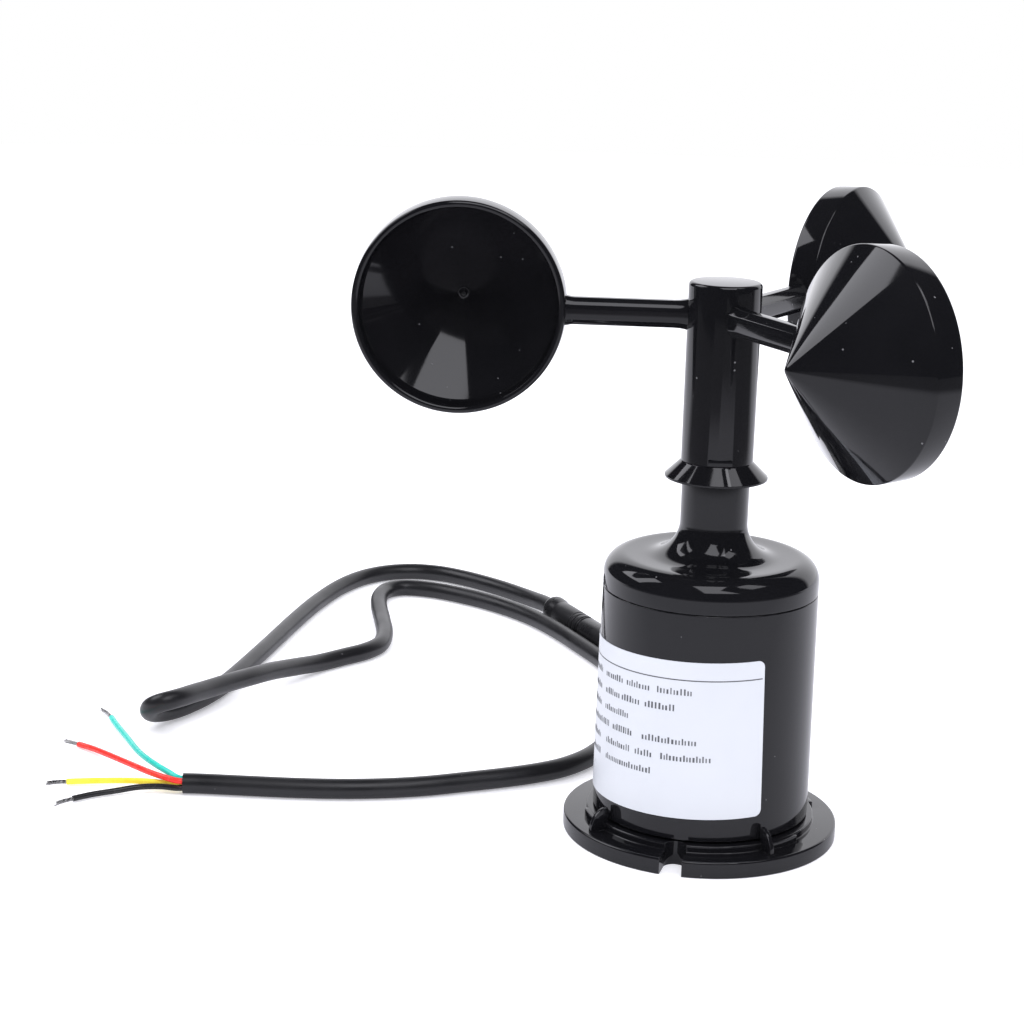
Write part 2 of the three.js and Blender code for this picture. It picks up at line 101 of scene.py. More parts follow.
def eased(corners: Sequence[Corner], around: bool = False, chord: float = 15.0) -> list[Pair]:
    """Rounds the corners of a profile, each over less than half of the edges beside it.

    Args:
        corners: (radius, height, corner radius) of each corner; 0 keeps it sharp.
        around: True for a profile that closes on itself.
        chord: turn of one chord of a rounding, in degrees.

    Returns:
        The profile's points.
    """
    points: list[Pair] = []
    count = len(corners)
    for i, (x, y, radius) in enumerate(corners):
        at_end = not around and i in (0, count - 1)
        if radius <= 0 or at_end:
            points.append((x, y))
            continue
        here = Vector((x, y))
        back = Vector(corners[i - 1][:2]) - here
        ahead = Vector(corners[(i + 1) % count][:2]) - here
        half = back.angle(ahead) / 2
        reach = min(radius / math.tan(half), LONGEST_REACH * back.length, LONGEST_REACH * ahead.length)
        true_radius = reach * math.tan(half)
        first, last = here + back.normalized() * reach, here + ahead.normalized() * reach
        inward = (back.normalized() + ahead.normalized()).normalized()
        middle = here + inward * (true_radius / math.sin(half))
        turn = math.pi - 2 * half
        steps = max(2, math.ceil(math.degrees(turn) / chord))
        spoke, other = first - middle, last - middle
        sign = 1.0 if spoke.x * other.y - spoke.y * other.x > 0 else -1.0
        for step in range(steps + 1):
            a = sign * turn * step / steps
            points.append((middle.x + spoke.x * math.cos(a) - spoke.y * math.sin(a),
                           middle.y + spoke.x * math.sin(a) + spoke.y * math.cos(a)))
    return points


def smooth_route(knots: Sequence[Point], spacing: float) -> list[Point]:
    """Lays the frame's smooth curve (centripetal, through every knot) along a route.

    Args:
        knots: the route's points, in millimetres.
        spacing: rough distance between the points that come back.

    Returns:
        Points along the curve, in millimetres.
    """
    p = [Vector(k) for k in knots]
    p = [2 * p[0] - p[1], *p, 2 * p[-1] - p[-2]]
    out: list[Point] = []
    for i in range(1, len(p) - 2):
        a, b, c, d = p[i - 1:i + 3]
        gaps = [max((v - u).length, 1e-6) ** 0.5 for u, v in ((a, b), (b, c), (c, d))]
        leave = ((b - a) / gaps[0] - (c - a) / (gaps[0] + gaps[1]) + (c - b) / gaps[1]) * gaps[1]
        reach = ((c - b) / gaps[1] - (d - b) / (gaps[1] + gaps[2]) + (d - c) / gaps[2]) * gaps[1]
        steps = max(2, round((c - b).length / spacing))
        for step in range(steps):
            t = step / steps
            q = b + leave * t + (-3 * b + 3 * c - 2 * leave - reach) * t**2 \
                + (2 * b - 2 * c + leave + reach) * t**3
            out.append(tuple(q))
    out.append(tuple(p[-2]))
    return out


def length_of(points: Sequence[Point]) -> float:
    """Length of a run of points, in their own unit."""
    return sum((Vector(b) - Vector(a)).length for a, b in zip(points, points[1:]))


# ---------------------------------------------------------------- work at the bench

def deselect() -> None:
    """Leaves edit mode and selects nothing."""
    if bpy.context.object is not None and bpy.context.object.mode != "OBJECT":
        bpy.ops.object.mode_set(mode="OBJECT")
    bpy.ops.object.select_all(action="DESELECT")


def take(piece: bpy.types.Object) -> None:
    """Selects one piece alone and makes it active."""
    deselect()
    piece.select_set(True)
    bpy.context.view_layer.objects.active = piece


@contextmanager
def editing(piece: bpy.types.Object) -> Iterator[None]:
    """Edit mode on one piece, for the length of a with block.

    Args:
        piece: the piece to edit.
    """
    take(piece)
    bpy.ops.object.mode_set(mode="EDIT")
    try:
        yield
    finally:
        bpy.ops.object.mode_set(mode="OBJECT")


def pick_faces(piece: bpy.types.Object, wanted: Callable[[Vector], bool]) -> None:
    """Selects, in edit mode, the faces that lie in a wanted place.

    Args:
        piece: the piece in edit mode.
        wanted: says of a face's middle, in millimetres, whether it is wanted.
    """
    bpy.ops.mesh.select_mode(type="FACE")
    bpy.ops.mesh.select_all(action="DESELECT")
    shape = bmesh.from_edit_mesh(piece.data)
    for face in shape.faces:
        middle = sum((v.co for v in face.verts), Vector()) / len(face.verts) / MM
        if wanted(middle):
            face.select_set(True)
    bmesh.update_edit_mesh(piece.data)


def one_point(name: str, at: Point) -> bpy.types.Object:
    """A new piece with one vertex, in edit mode, ready to be drawn out.

    Args:
        name: the piece's name.
        at: the vertex's place, in millimetres.

    Returns:
        The piece, left in edit mode with its vertex selected.
    """
    deselect()
    bpy.ops.mesh.primitive_plane_add(size=MM, location=(0, 0, 0))
    piece = bpy.context.object
    piece.name = name
    bpy.ops.object.mode_set(mode="EDIT")
    bpy.ops.mesh.select_mode(type="VERT")
    bpy.ops.mesh.select_all(action="SELECT")
    bpy.ops.mesh.merge(type="CENTER")
    bpy.ops.transform.translate(value=Vector(at) * MM)
    return piece


def draw_on(points: Sequence[Point]) -> None:
    """Extrudes the selected vertex along a line.

    Args:
        points: the line's points in millimetres, the first where the vertex is.
    """
    for here, there in zip(points, points[1:]):
        move = (Vector(there) - Vector(here)) * MM
        bpy.ops.mesh.extrude_region_move(TRANSFORM_OT_translate={"value": move})


def tidy_mesh() -> None:
    """Merges doubles and turns every face outward, in edit mode."""
    bpy.ops.mesh.select_all(action="SELECT")
    bpy.ops.mesh.remove_doubles(threshold=2 * MERGE)
    bpy.ops.mesh.normals_make_consistent(inside=False)


def close_ring() -> None:
    """Merges the two ends of a drawn line that comes back to its start, in edit mode."""
    bpy.ops.mesh.select_all(action="SELECT")
    bpy.ops.mesh.remove_doubles(threshold=MERGE)


def turned(name: str, profile: Sequence[Pair], steps: int = 128, around: bool = False) -> bpy.types.Object:
    """Turns a profile about the Z axis.

    Args:
        name: the piece's name.
        profile: radius and height of its points.
        steps: sides of the turned piece.
        around: True if the profile closes on itself, for a piece with a hole.

    Returns:
        The piece, closed, with its faces outward.
    """
    line = [(r, 0.0, z) for r, z in profile]
    if around:
        line.append(line[0])
    piece = one_point(name, line[0])
    draw_on(line)
    close_ring()
    bpy.ops.mesh.spin(steps=steps, angle=math.tau, center=(0, 0, 0), axis=(0, 0, 1))
    tidy_mesh()
    bpy.ops.object.mode_set(mode="OBJECT")
    return piece


def slab(name: str, outline: Sequence[Point], depth: Point) -> bpy.types.Object:
    """A flat outline given a thickness.

    Args:
        name: the piece's name.
        outline: the outline's points, in order, in millimetres.
        depth: the move from the first face to the other.

    Returns:
        The closed piece.
    """
    piece = one_point(name, outline[0])
    draw_on([*outline, outline[0]])
    close_ring()
    bpy.ops.mesh.edge_face_add()
    bpy.ops.mesh.extrude_region_move(TRANSFORM_OT_translate={"value": Vector(depth) * MM})
    tidy_mesh()
    bpy.ops.object.mode_set(mode="OBJECT")
    return piece


def block(name: str, low: Point, high: Point, rounded_by: float, segments: int = 3) -> bpy.types.Object:
    """A box with rounded edges.

    Args:
        name: the piece's name.
        low: its lowest corner, in millimetres.
        high: its highest corner.
        rounded_by: the width of its rounded edges.
        segments: facets across each rounding.

    Returns:
        The box.
    """
    deselect()
    bpy.ops.mesh.primitive_cube_add(size=1.0, location=(0, 0, 0))
    piece = bpy.context.object
    piece.name = name
    bpy.ops.object.mode_set(mode="EDIT")
    size = Vector(high) - Vector(low)
    bpy.ops.transform.resize(value=size * MM)
    bpy.ops.transform.translate(value=(Vector(low) + Vector(high)) / 2 * MM)
    bpy.ops.mesh.bevel(offset=rounded_by * MM, segments=segments, affect="EDGES")
    bpy.ops.object.mode_set(mode="OBJECT")
    return piece


def place(piece: bpy.types.Object, matrix: Matrix) -> bpy.types.Object:
    """Moves a piece's mesh, and leaves its object at the origin.

    Args:
        piece: the piece to move.
        matrix: the move.

    Returns:
        The same piece.
    """
    take(piece)
    piece.matrix_world = matrix @ piece.matrix_world
    bpy.ops.object.transform_apply(location=True, rotation=True, scale=True)
    return piece


def about_z(degrees: float, at: Point = (0, 0, 0)) -> Matrix:
    """A turn about the Z axis, then a move in millimetres."""
    return Matrix.Translation(Vector(at) * MM) @ Matrix.Rotation(math.radians(degrees), 4, "Z")


def shift(x: float, y: float, z: float) -> Matrix:
    """A move, given in millimetres."""
    return Matrix.Translation(Vector((x, y, z)) * MM)


def along_level(degrees: float, at: Point) -> Matrix:
    """Lays a piece made along +Z along a level direction, from a point in millimetres."""
    return about_z(degrees, at) @ Matrix.Rotation(math.pi / 2, 4, "Y")


def twin(piece: bpy.types.Object, name: str, matrix: Matrix) -> bpy.types.Object:
    """A copy of a piece with its own mesh, put in another place.

    Args:
        piece: the piece to copy.
        name: the copy's name.
        matrix: the move from the piece's place to the copy's.

    Returns:
        The copy.
    """
    take(piece)
    bpy.ops.object.duplicate(linked=False)
    copy = bpy.context.object
    copy.name = name
    return place(copy, matrix)


def apply_modifier(piece: bpy.types.Object, kind: str, **settings: object) -> None:
    """Adds a modifier, sets it and applies it.

    Args:
        piece: the piece to work on.
        kind: the modifier's type.
        settings: its settings by name.
    """
    take(piece)
    modifier = piece.modifiers.new(kind.lower(), kind)
    for key, value in settings.items():
        setattr(modifier, key, value)
    bpy.ops.object.modifier_apply(modifier=modifier.name)


def clear_away(piece: bpy.types.Object) -> None:
    """Deletes a tool or a pattern that has done its work."""
    take(piece)
    bpy.ops.object.delete()


def combine(piece: bpy.types.Object, tools: Sequence[bpy.types.Object], how: Join) -> None:
    """Adds tools to a piece or cuts them out of it, and clears them away.

    Args:
        piece: the piece to work on.
        tools: the solids that are joined to it or cut out of it.
        how: whether they are added or cut.
    """
    for tool in tools:
        apply_modifier(piece, "BOOLEAN", object=tool, operation=how.value, solver="EXACT")
        clear_away(tool)


def joined(pieces: Sequence[bpy.types.Object], name: str) -> bpy.types.Object:
    """Makes several pieces one.

    Args:
        pieces: the pieces, which may touch or lie apart.
        name: the name of the piece that they become.

    Returns:
        The one piece.
    """
    deselect()
    for piece in pieces:
        piece.select_set(True)
    bpy.context.view_layer.objects.active = pieces[0]
    bpy.ops.object.join()
    whole = bpy.context.object
    whole.name = name
    return whole


def soften_edges(piece: bpy.types.Object, width: float) -> None:
    """Rounds every sharp edge of a piece by a small width, in millimetres."""
    apply_modifier(piece, "BEVEL", width=width * MM, segments=2, limit_method="ANGLE",
                   angle_limit=math.radians(50), use_clamp_overlap=True)


def smooth(piece: bpy.types.Object) -> None:
    """Shades a piece smooth, except across its sharp edges."""
    take(piece)
    bpy.ops.object.shade_smooth_by_angle(angle=math.radians(32))


def drawn_tube(name: str, points: Sequence[Point], radius: float, sides: int = 24) -> bpy.types.Object:
    """A round tube along a line.

    Args:
        name: the piece's name.
        points: the line, in millimetres.
        radius: the tube's radius, in millimetres.
        sides: sides of its section, an even number.

    Returns:
        The tube as a closed mesh.
    """
    deselect()
    bpy.ops.curve.primitive_nurbs_path_add(location=(0, 0, 0))
    piece = bpy.context.object
    piece.name = name
    curve = piece.data
    curve.splines.clear()
    spline = curve.splines.new("POLY")
    spline.points.add(len(points) - 1)
    for knot, point in zip(spline.points, points):
        knot.co = (*(Vector(point) * MM), 1.0)
    curve.dimensions = "3D"
    curve.bevel_depth = radius * MM
    curve.bevel_resolution = (sides - 4) // 2
    curve.use_fill_caps = True
    bpy.ops.object.convert(target="MESH")
    piece = bpy.context.object
    with editing(piece):
        tidy_mesh()
    return piece


# ---------------------------------------------------------------- shader node groups

class Nodes:
    """A node tree that is being wired, with short calls to add and join nodes."""

    def __init__(self, tree: bpy.types.NodeTree) -> None:
        """Starts on an empty tree."""
        self.tree = tree
        tree.nodes.clear()

    def add(self, kind: str, **settings: object) -> bpy.types.Node:
        """Adds a node.

        Args:
            kind: the node's type.
            settings: its options by name.

        Returns:
            The node.
        """
        node = self.tree.nodes.new(kind)
        for key, value in settings.items():
            setattr(node, key, value)
        return node

    def put(self, node: bpy.types.Node, socket: str | int, value: object) -> None:
        """Sets a socket to a value, or joins it to another node's socket.

        Args:
            node: the node whose input is set.
            socket: the input's name or number.
            value: a plain value, or an output socket.
        """
        if isinstance(value, bpy.types.NodeSocket):
            self.tree.links.new(value, node.inputs[socket])
        else:
            node.inputs[socket].default_value = value

    def math(self, operation: str, *values: object, clamp: bool = False) -> bpy.types.NodeSocket:
        """A Math node.

        Args:
            operation: what it works out.
            values: its entries, each a number or a socket.
            clamp: True to keep the result between 0 and 1.

        Returns:
            The result's socket.
        """
        node = self.add("ShaderNodeMath", operation=operation, use_clamp=clamp)
        for i, value in enumerate(values):
            self.put(node, i, value)
        return node.outputs[0]

    def ramp(self, value: object, low: float, high: float, to_low: object = 0.0,
             to_high: object = 1.0) -> bpy.types.NodeSocket:
        """A clamped Map Range node.

        Args:
            value: what is mapped.
            low: the value that gives to_low.
            high: the value that gives to_high.
            to_low: the result at and before low.
            to_high: the result at and past high.

        Returns:
            The result's socket.
        """
        node = self.add("ShaderNodeMapRange", clamp=True)
        for i, entry in enumerate((value, low, high, to_low, to_high)):
            self.put(node, i, entry)
        return node.outputs[0]

    def noise(self, vector: object, scale: object, detail: float = 2.0) -> bpy.types.NodeSocket:
        """A Noise Texture.

        Args:
            vector: where it is read.
            scale: how many of its waves a metre holds, about.
            detail: how many finer layers it has.

        Returns:
            The socket of its value.
        """
        node = self.add("ShaderNodeTexNoise")
        self.put(node, "Vector", vector)
        self.put(node, "Scale", scale)
        self.put(node, "Detail", detail)
        return node.outputs[0]

    def along(self, vector: object, way: Vector) -> bpy.types.NodeSocket:
        """How far a vector reaches along a direction.

        Args:
            vector: the vector's socket.
            way: the direction, of length 1.

        Returns:
            The socket of the distance.
        """
        node = self.add("ShaderNodeVectorMath", operation="DOT_PRODUCT")
        self.put(node, 0, vector)
        self.put(node, 1, way)
        return node.outputs["Value"]

    def mix(self, share: object, first: object, second: object) -> bpy.types.NodeSocket:
        """A colour Mix node.

        Args:
            share: 0 for the first colour, 1 for the second.
            first: a colour or a socket.
            second: a colour or a socket.

        Returns:
            The mixed colour's socket.
        """
        node = self.add("ShaderNodeMix", data_type="RGBA")
        self.put(node, 0, share)
        self.put(node, 6, first)
        self.put(node, 7, second)
        return node.outputs[2]


def effect(name: str, inputs: dict[str, tuple[str, object]], outputs: dict[str, str]) -> tuple[
        bpy.types.NodeTree, Nodes, bpy.types.Node, bpy.types.Node]:
    """Starts a shared effect as a shader node group.

    Args:
        name: the group's name.
        inputs: socket type and default of each input.
        outputs: socket type of each output.

    Returns:
        The group, its wiring, and its input and output nodes.
    """
    group = bpy.data.node_groups.new(name, "ShaderNodeTree")
    for label, (kind, default) in inputs.items():
        socket = group.interface.new_socket(label, in_out="INPUT", socket_type=kind)
        if default is not None:
            socket.default_value = default
    for label, kind in outputs.items():
        group.interface.new_socket(label, in_out="OUTPUT", socket_type=kind)
    wiring = Nodes(group)
    return group, wiring, wiring.add("NodeGroupInput"), wiring.add("NodeGroupOutput")


NUMBER = "NodeSocketFloat"
PLACE = "NodeSocketVector"


class Effects:
    """The shared effects, each built once."""

    def __init__(self) -> None:
        """Builds every group."""
        self.drift = self._drift()
        self.dust = self._dust()
        self.relief = self._relief()
        self.wear = self._wear()
        self.scuffs = self._scuffs()

    def _drift(self) -> bpy.types.NodeTree:
        """Slow change of shade or gloss over a surface, from 0 to 1.

        Returns:
            The group.
        """
        group, n, given, out = effect("surface drift", {"Place": (PLACE, None), "Size": (NUMBER, 60.0)},
                                      {"Drift": NUMBER})
        coarse = n.noise(given.outputs["Place"], given.outputs["Size"], 3.0)
        n.put(out, "Drift", n.ramp(coarse, 0.32, 0.68))
        return group

    def _dust(self) -> bpy.types.NodeTree:
        """A few specks of dust, each in its own cell.

        Returns:
            The group.
        """
        group, n, given, out = effect("dust specks", {"Place": (PLACE, None), "Cells": (NUMBER, 300.0),
                                                      "Share": (NUMBER, 0.05)}, {"Specks": NUMBER})
        cells = n.add("ShaderNodeTexVoronoi", feature="F1")
        n.put(cells, "Vector", given.outputs["Place"])
        n.put(cells, "Scale", given.outputs["Cells"])
        parts = n.add("ShaderNodeSeparateColor")
        n.put(parts, 0, cells.outputs["Color"])
        chosen = n.math("LESS_THAN", parts.outputs[0], given.outputs["Share"])
        size = n.ramp(parts.outputs[1], 0.0, 1.0, 0.05, 0.16)
        dot = n.math("LESS_THAN", cells.outputs["Distance"], size)
        n.put(out, "Specks", n.math("MULTIPLY", chosen, dot))
        return group

    def _relief(self) -> bpy.types.NodeTree:
        """Slow moulding waves and fine grain as one height, in metres.

        Returns:
            The group.
        """
        group, n, given, out = effect("surface relief", {
            "Place": (PLACE, None), "Wave Size": (NUMBER, 90.0), "Wave Depth": (NUMBER, 0.0),
            "Grain Size": (NUMBER, 3000.0), "Grain Depth": (NUMBER, 0.0)}, {"Height": NUMBER})
        wave = n.math("MULTIPLY", n.noise(given.outputs["Place"], given.outputs["Wave Size"], 1.0),
                      given.outputs["Wave Depth"])
        grain = n.math("MULTIPLY", n.noise(given.outputs["Place"], given.outputs["Grain Size"], 2.0),
                       given.outputs["Grain Depth"])
        n.put(out, "Height", n.math("ADD", wave, grain))
        return group

    def _wear(self) -> bpy.types.NodeTree:
        """Edges that handling has rubbed: where the surface's own normal differs from a rounded one.

        Returns:
            The group.
        """
        group, n, given, out = effect("edge wear", {"Place": (PLACE, None), "Reach": (NUMBER, 0.0004)},
                                      {"Edge": NUMBER})
        rounded = n.add("ShaderNodeBevel", samples=3)
        n.put(rounded, "Radius", given.outputs["Reach"])
        flat = n.add("ShaderNodeNewGeometry")
        likeness = n.add("ShaderNodeVectorMath", operation="DOT_PRODUCT")
        n.put(likeness, 0, rounded.outputs[0])
        n.put(likeness, 1, flat.outputs["Normal"])
        edge = n.ramp(likeness.outputs["Value"], 0.97, 0.85)
        broken = n.ramp(n.noise(given.outputs["Place"], 700.0, 3.0), 0.35, 0.6)
        n.put(out, "Edge", n.math("MULTIPLY", edge, broken))
        return group

    def _scuffs(self) -> bpy.types.NodeTree:
        """Hairline marks: thin ridges of a stretched noise, broken into short runs.

        Returns:
            The group.
        """
        group, n, given, out = effect("hairlines", {"Place": (PLACE, None), "Size": (NUMBER, 50.0)},
                                      {"Marks": NUMBER})
        turned_place = n.add("ShaderNodeMapping")
        n.put(turned_place, "Vector", given.outputs["Place"])
        n.put(turned_place, "Rotation", (0.5, 0.3, 0.8))
        n.put(turned_place, "Scale", (1.0, 7.0, 5.0))
        field_value = n.noise(turned_place.outputs[0], given.outputs["Size"], 4.0)
        ridge = n.ramp(n.math("ABSOLUTE", n.math("SUBTRACT", field_value, 0.5)), 0.0, 0.006, 1.0, 0.0)
        runs = n.ramp(n.noise(given.outputs["Place"], 80.0, 1.0), 0.55, 0.68)
        n.put(out, "Marks", n.math("MULTIPLY", ridge, runs))
        return group


# ---------------------------------------------------------------- finishes

@dataclass(frozen=True)
class Aging:
    """What scuffs, rubbed edges and dust do to a surface, the same on every finish."""

    scuff_size: float = 45.0
    scuff_dulls: float = 0.25
    scuff_depth: float = 4e-6
    rubbed: Colour = (0.06, 0.06, 0.065)
    rub_dulls: float = 0.2
    dust: Colour = (0.16, 0.16, 0.17)
    dust_covers: float = 0.7
    dust_dulls: float = 0.4


AGING = Aging()
PLASTIC_IOR = 1.5


@dataclass(frozen=True)
class Finish:
    """One finish: a Principled surface with the shared effects at its own strengths."""

    name: str
    slot: str
    colour: Colour
    shade: Colour
    roughness: float
    roughness_drift: float = 0.05
    metallic: float = 0.0
    drift_size: float = 60.0
    wave_size: float = 90.0
    wave_depth: float = 0.0
    grain_size: float = 3000.0
    grain_depth: float = 0.0
    dust: float = 0.0
    dust_cells: float = 700.0
    wear: float = 0.0
    scuffs: float = 0.0
    sheen: float = 0.0
    coat: float = 0.0

    def material(self, effects: Effects) -> bpy.types.Material:
        """Builds the finish's node material.

        Args:
            effects: the shared node groups.

        Returns:
            The material.
        """
        made = bpy.data.materials.new(self.name)
        made.use_nodes = True
        n = Nodes(made.node_tree)
        out = n.add("ShaderNodeOutputMaterial")
        surface = n.add("ShaderNodeBsdfPrincipled")
        n.put(out, "Surface", surface.outputs[0])
        where = n.add("ShaderNodeTexCoord").outputs["Object"]

        def use(group: bpy.types.NodeTree, **values: object) -> bpy.types.NodeSocket:
            """Places a shared effect.

            Args:
                group: the effect.
                values: its named inputs, with _ for a space.

            Returns:
                Its output's socket.
            """
            node = n.add("ShaderNodeGroup", node_tree=group)
            n.put(node, "Place", where)
            for label, value in values.items():
                n.put(node, label.replace("_", " "), value)
            return node.outputs[0]

        drift = use(effects.drift, Size=self.drift_size)
        colour = n.mix(drift, (*self.colour, 1.0), (*self.shade, 1.0))
        rough = n.ramp(drift, 0.0, 1.0, self.roughness - self.roughness_drift / 2,
                       self.roughness + self.roughness_drift / 2)
        height = use(effects.relief, Wave_Size=self.wave_size, Wave_Depth=self.wave_depth,
                     Grain_Size=self.grain_size, Grain_Depth=self.grain_depth)
        if self.scuffs > 0:
            marks = n.math("MULTIPLY", use(effects.scuffs, Size=AGING.scuff_size), self.scuffs)
            rough = n.math("ADD", rough, n.math("MULTIPLY", marks, AGING.scuff_dulls))
            height = n.math("SUBTRACT", height, n.math("MULTIPLY", marks, AGING.scuff_depth))
        if self.wear > 0:
            edge = n.math("MULTIPLY", use(effects.wear), self.wear)
            colour = n.mix(edge, colour, (*AGING.rubbed, 1.0))
            rough = n.math("ADD", rough, n.math("MULTIPLY", edge, AGING.rub_dulls))
        if self.dust > 0:
            specks = use(effects.dust, Cells=self.dust_cells, Share=self.dust)
            covered = n.math("MULTIPLY", specks, AGING.dust_covers)
            colour = n.mix(covered, colour, (*AGING.dust, 1.0))
            rough = n.math("ADD", rough, n.math("MULTIPLY", specks, AGING.dust_dulls), clamp=True)
        bump = n.add("ShaderNodeBump")
        for label, value in {"Strength": 1.0, "Distance": 1.0, "Height": height}.items():
            n.put(bump, label, value)
        for label, value in {"Base Color": colour, "Roughness": rough, "Normal": bump.outputs[0],
                             "Metallic": self.metallic, "IOR": PLASTIC_IOR, "Sheen Weight": self.sheen,
                             "Coat Weight": self.coat}.items():
            n.put(surface, label, value)
        return made


def insulation(name: str, slot: str, colour: Colour, shade: Colour) -> Finish:
    """The finish of one wire's insulation."""
    return Finish(name, slot, colour, shade, roughness=0.26, roughness_drift=0.08, drift_size=250.0,
                  grain_size=2500.0, grain_depth=3e-6)


GLOSS_ABS = Finish("moulded gloss black", "black_gloss", (0.0052, 0.0053, 0.0065), (0.0066, 0.0066, 0.0078),
                   roughness=0.07, roughness_drift=0.035, wave_depth=7e-6, dust=0.035, wear=0.5, scuffs=0.5)
ROTOR_ABS = Finish("rotor gloss black", "black_gloss", (0.0046, 0.0047, 0.0056), (0.006, 0.006, 0.0071),
                   roughness=0.06, roughness_drift=0.03, wave_depth=6e-6, wave_size=70.0, dust=0.05,
                   scuffs=0.35)
SATIN_PVC = Finish("cable jacket", "black_satin", (0.0085, 0.0085, 0.01), (0.0125, 0.0125, 0.0145),
                   roughness=0.36, roughness_drift=0.1, drift_size=90.0, grain_size=2200.0,
                   grain_depth=1.6e-5, dust=0.03)
LINK_PVC = Finish("connector moulding", "black_satin", (0.0075, 0.0075, 0.0088), (0.0115, 0.0115, 0.013),
                  roughness=0.3, roughness_drift=0.1, grain_size=2600.0, grain_depth=8e-6, wear=0.3,
                  dust=0.03)
SILICONE = Finish("soft black rubber", "silicone", (0.02, 0.02, 0.022), (0.032, 0.032, 0.034),
                  roughness=0.62, roughness_drift=0.15, grain_size=1800.0, grain_depth=2e-5, dust=0.08,
                  sheen=0.15)
LABEL_FILM = Finish("label film", "label", (0.545, 0.566, 0.612), (0.572, 0.592, 0.636),
                    roughness=0.34, roughness_drift=0.1, drift_size=35.0, grain_size=1500.0, grain_depth=6e-6)
LABEL_INK = Finish("label ink", "label", (0.07, 0.073, 0.085), (0.11, 0.114, 0.128),
                   roughness=0.5, roughness_drift=0.1, drift_size=900.0, grain_size=2500.0, grain_depth=4e-6)
STEEL = Finish("turned steel", "steel", (0.52, 0.53, 0.55), (0.62, 0.63, 0.64), roughness=0.26,
               roughness_drift=0.12, metallic=1.0, drift_size=200.0, grain_size=4000.0, grain_depth=4e-6,
               scuffs=0.8)
BRASS = Finish("turned brass", "brass", (0.62, 0.42, 0.16), (0.7, 0.5, 0.22), roughness=0.28,
               roughness_drift=0.12, metallic=1.0, drift_size=200.0, grain_size=4000.0, grain_depth=4e-6)
BOARD = Finish("board lacquer", "board", (0.014, 0.11, 0.035), (0.02, 0.15, 0.05), roughness=0.35,
               roughness_drift=0.1, drift_size=400.0, grain_size=1500.0, grain_depth=1e-5, coat=0.3)
CHIP = Finish("chip epoxy", "chip", (0.012, 0.012, 0.013), (0.022, 0.022, 0.023), roughness=0.5,
              roughness_drift=0.1, grain_size=5000.0, grain_depth=1e-5)
MAGNET = Finish("nickel plate", "magnet", (0.5, 0.5, 0.5), (0.6, 0.6, 0.6), roughness=0.2,
                roughness_drift=0.1, metallic=1.0, drift_size=300.0)
TEAL = insulation("teal insulation", "teal", (0.012, 0.50, 0.42), (0.02, 0.58, 0.48))
RED = insulation("red insulation", "red", (0.72, 0.022, 0.016), (0.8, 0.035, 0.022))
YELLOW = insulation("yellow insulation", "yellow", (0.85, 0.66, 0.03), (0.9, 0.74, 0.06))
BLACK_CORE = insulation("black insulation", "black_satin", (0.012, 0.012, 0.013), (0.02, 0.02, 0.021))
TINNED = Finish("tinned copper", "tinned", (0.6, 0.6, 0.6), (0.75, 0.74, 0.72), roughness=0.3,
                roughness_drift=0.15, metallic=1.0, drift_size=900.0, grain_size=6000.0, grain_depth=6e-6)
FINISHES = (GLOSS_ABS, ROTOR_ABS, SATIN_PVC, LINK_PVC, SILICONE, LABEL_FILM, LABEL_INK, STEEL, BRASS, BOARD,
            CHIP, MAGNET, TEAL, RED, YELLOW, BLACK_CORE, TINNED)


class Paint:
    """The finishes' materials, and the handing over of a finished piece."""

    def __init__(self) -> None:
        """Builds the shared effects and every material."""
        effects = Effects()
        self.materials = {finish.name: finish.material(effects) for finish in FINISHES}

    def coat(self, thing: bpy.types.Object, finish: Finish) -> None:
        """Puts one finish in all of a part's material slots.

        Args:
            thing: the frame's own part.
            finish: its finish.
        """
        material = self.materials[finish.name]
        if not thing.material_slots:
            thing.data.materials.append(material)
        for entry in thing.material_slots:
            entry.link = "OBJECT"
            entry.material = material

    def hand_over(self, piece: bpy.types.Object, finish: Finish, body: Body, *nodes: str) -> bpy.types.Object:
        """Dresses a new piece, sets it on its body and hides the frame's nodes that it replaces.

        Args:
            piece: the finished piece.
            finish: its finish.
            body: the body that it moves with.
            nodes: the frame's nodes that it replaces.

        Returns:
            The same piece.
        """
        piece.data.materials.clear()
        piece.data.materials.append(self.materials[finish.name])
        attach(piece, body.value)
        if nodes:
            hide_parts(*nodes)
        log.info("%s: %d faces", piece.name, len(piece.data.polygons))
        return piece


# ---------------------------------------------------------------- housing

@dataclass(frozen=True)
class Screws:
    """The three screws that come up through the foot: where they stand, and their holes."""

    turns: tuple[float, ...] = (30, 150, 270)
    ring: float = 17.5
    head_hole: float = 3.1
    head_depth: float = 2.6
    thread_hole: float = 1.75

    def set_at_each(self, pattern: bpy.types.Object) -> list[bpy.types.Object]:
        """Puts a copy of a solid at every screw.

        Args:
            pattern: a solid made on the Z axis; it is cleared away.

        Returns:
            The copies.
        """
        copies = [twin(pattern, pattern.name, about_z(0, direction(turn) * self.ring)) for turn in self.turns]
        clear_away(pattern)
        return copies


@dataclass(frozen=True)
class CableOutlet:
    """Where the cable leaves the housing: its direction, its height and the mouth of its bush."""

    turn: float = 105.0
    height: float = 16.0
    mouth: float = 37.0
    hole: float = 4.3


SCREWS = Screws()
OUTLET = CableOutlet()


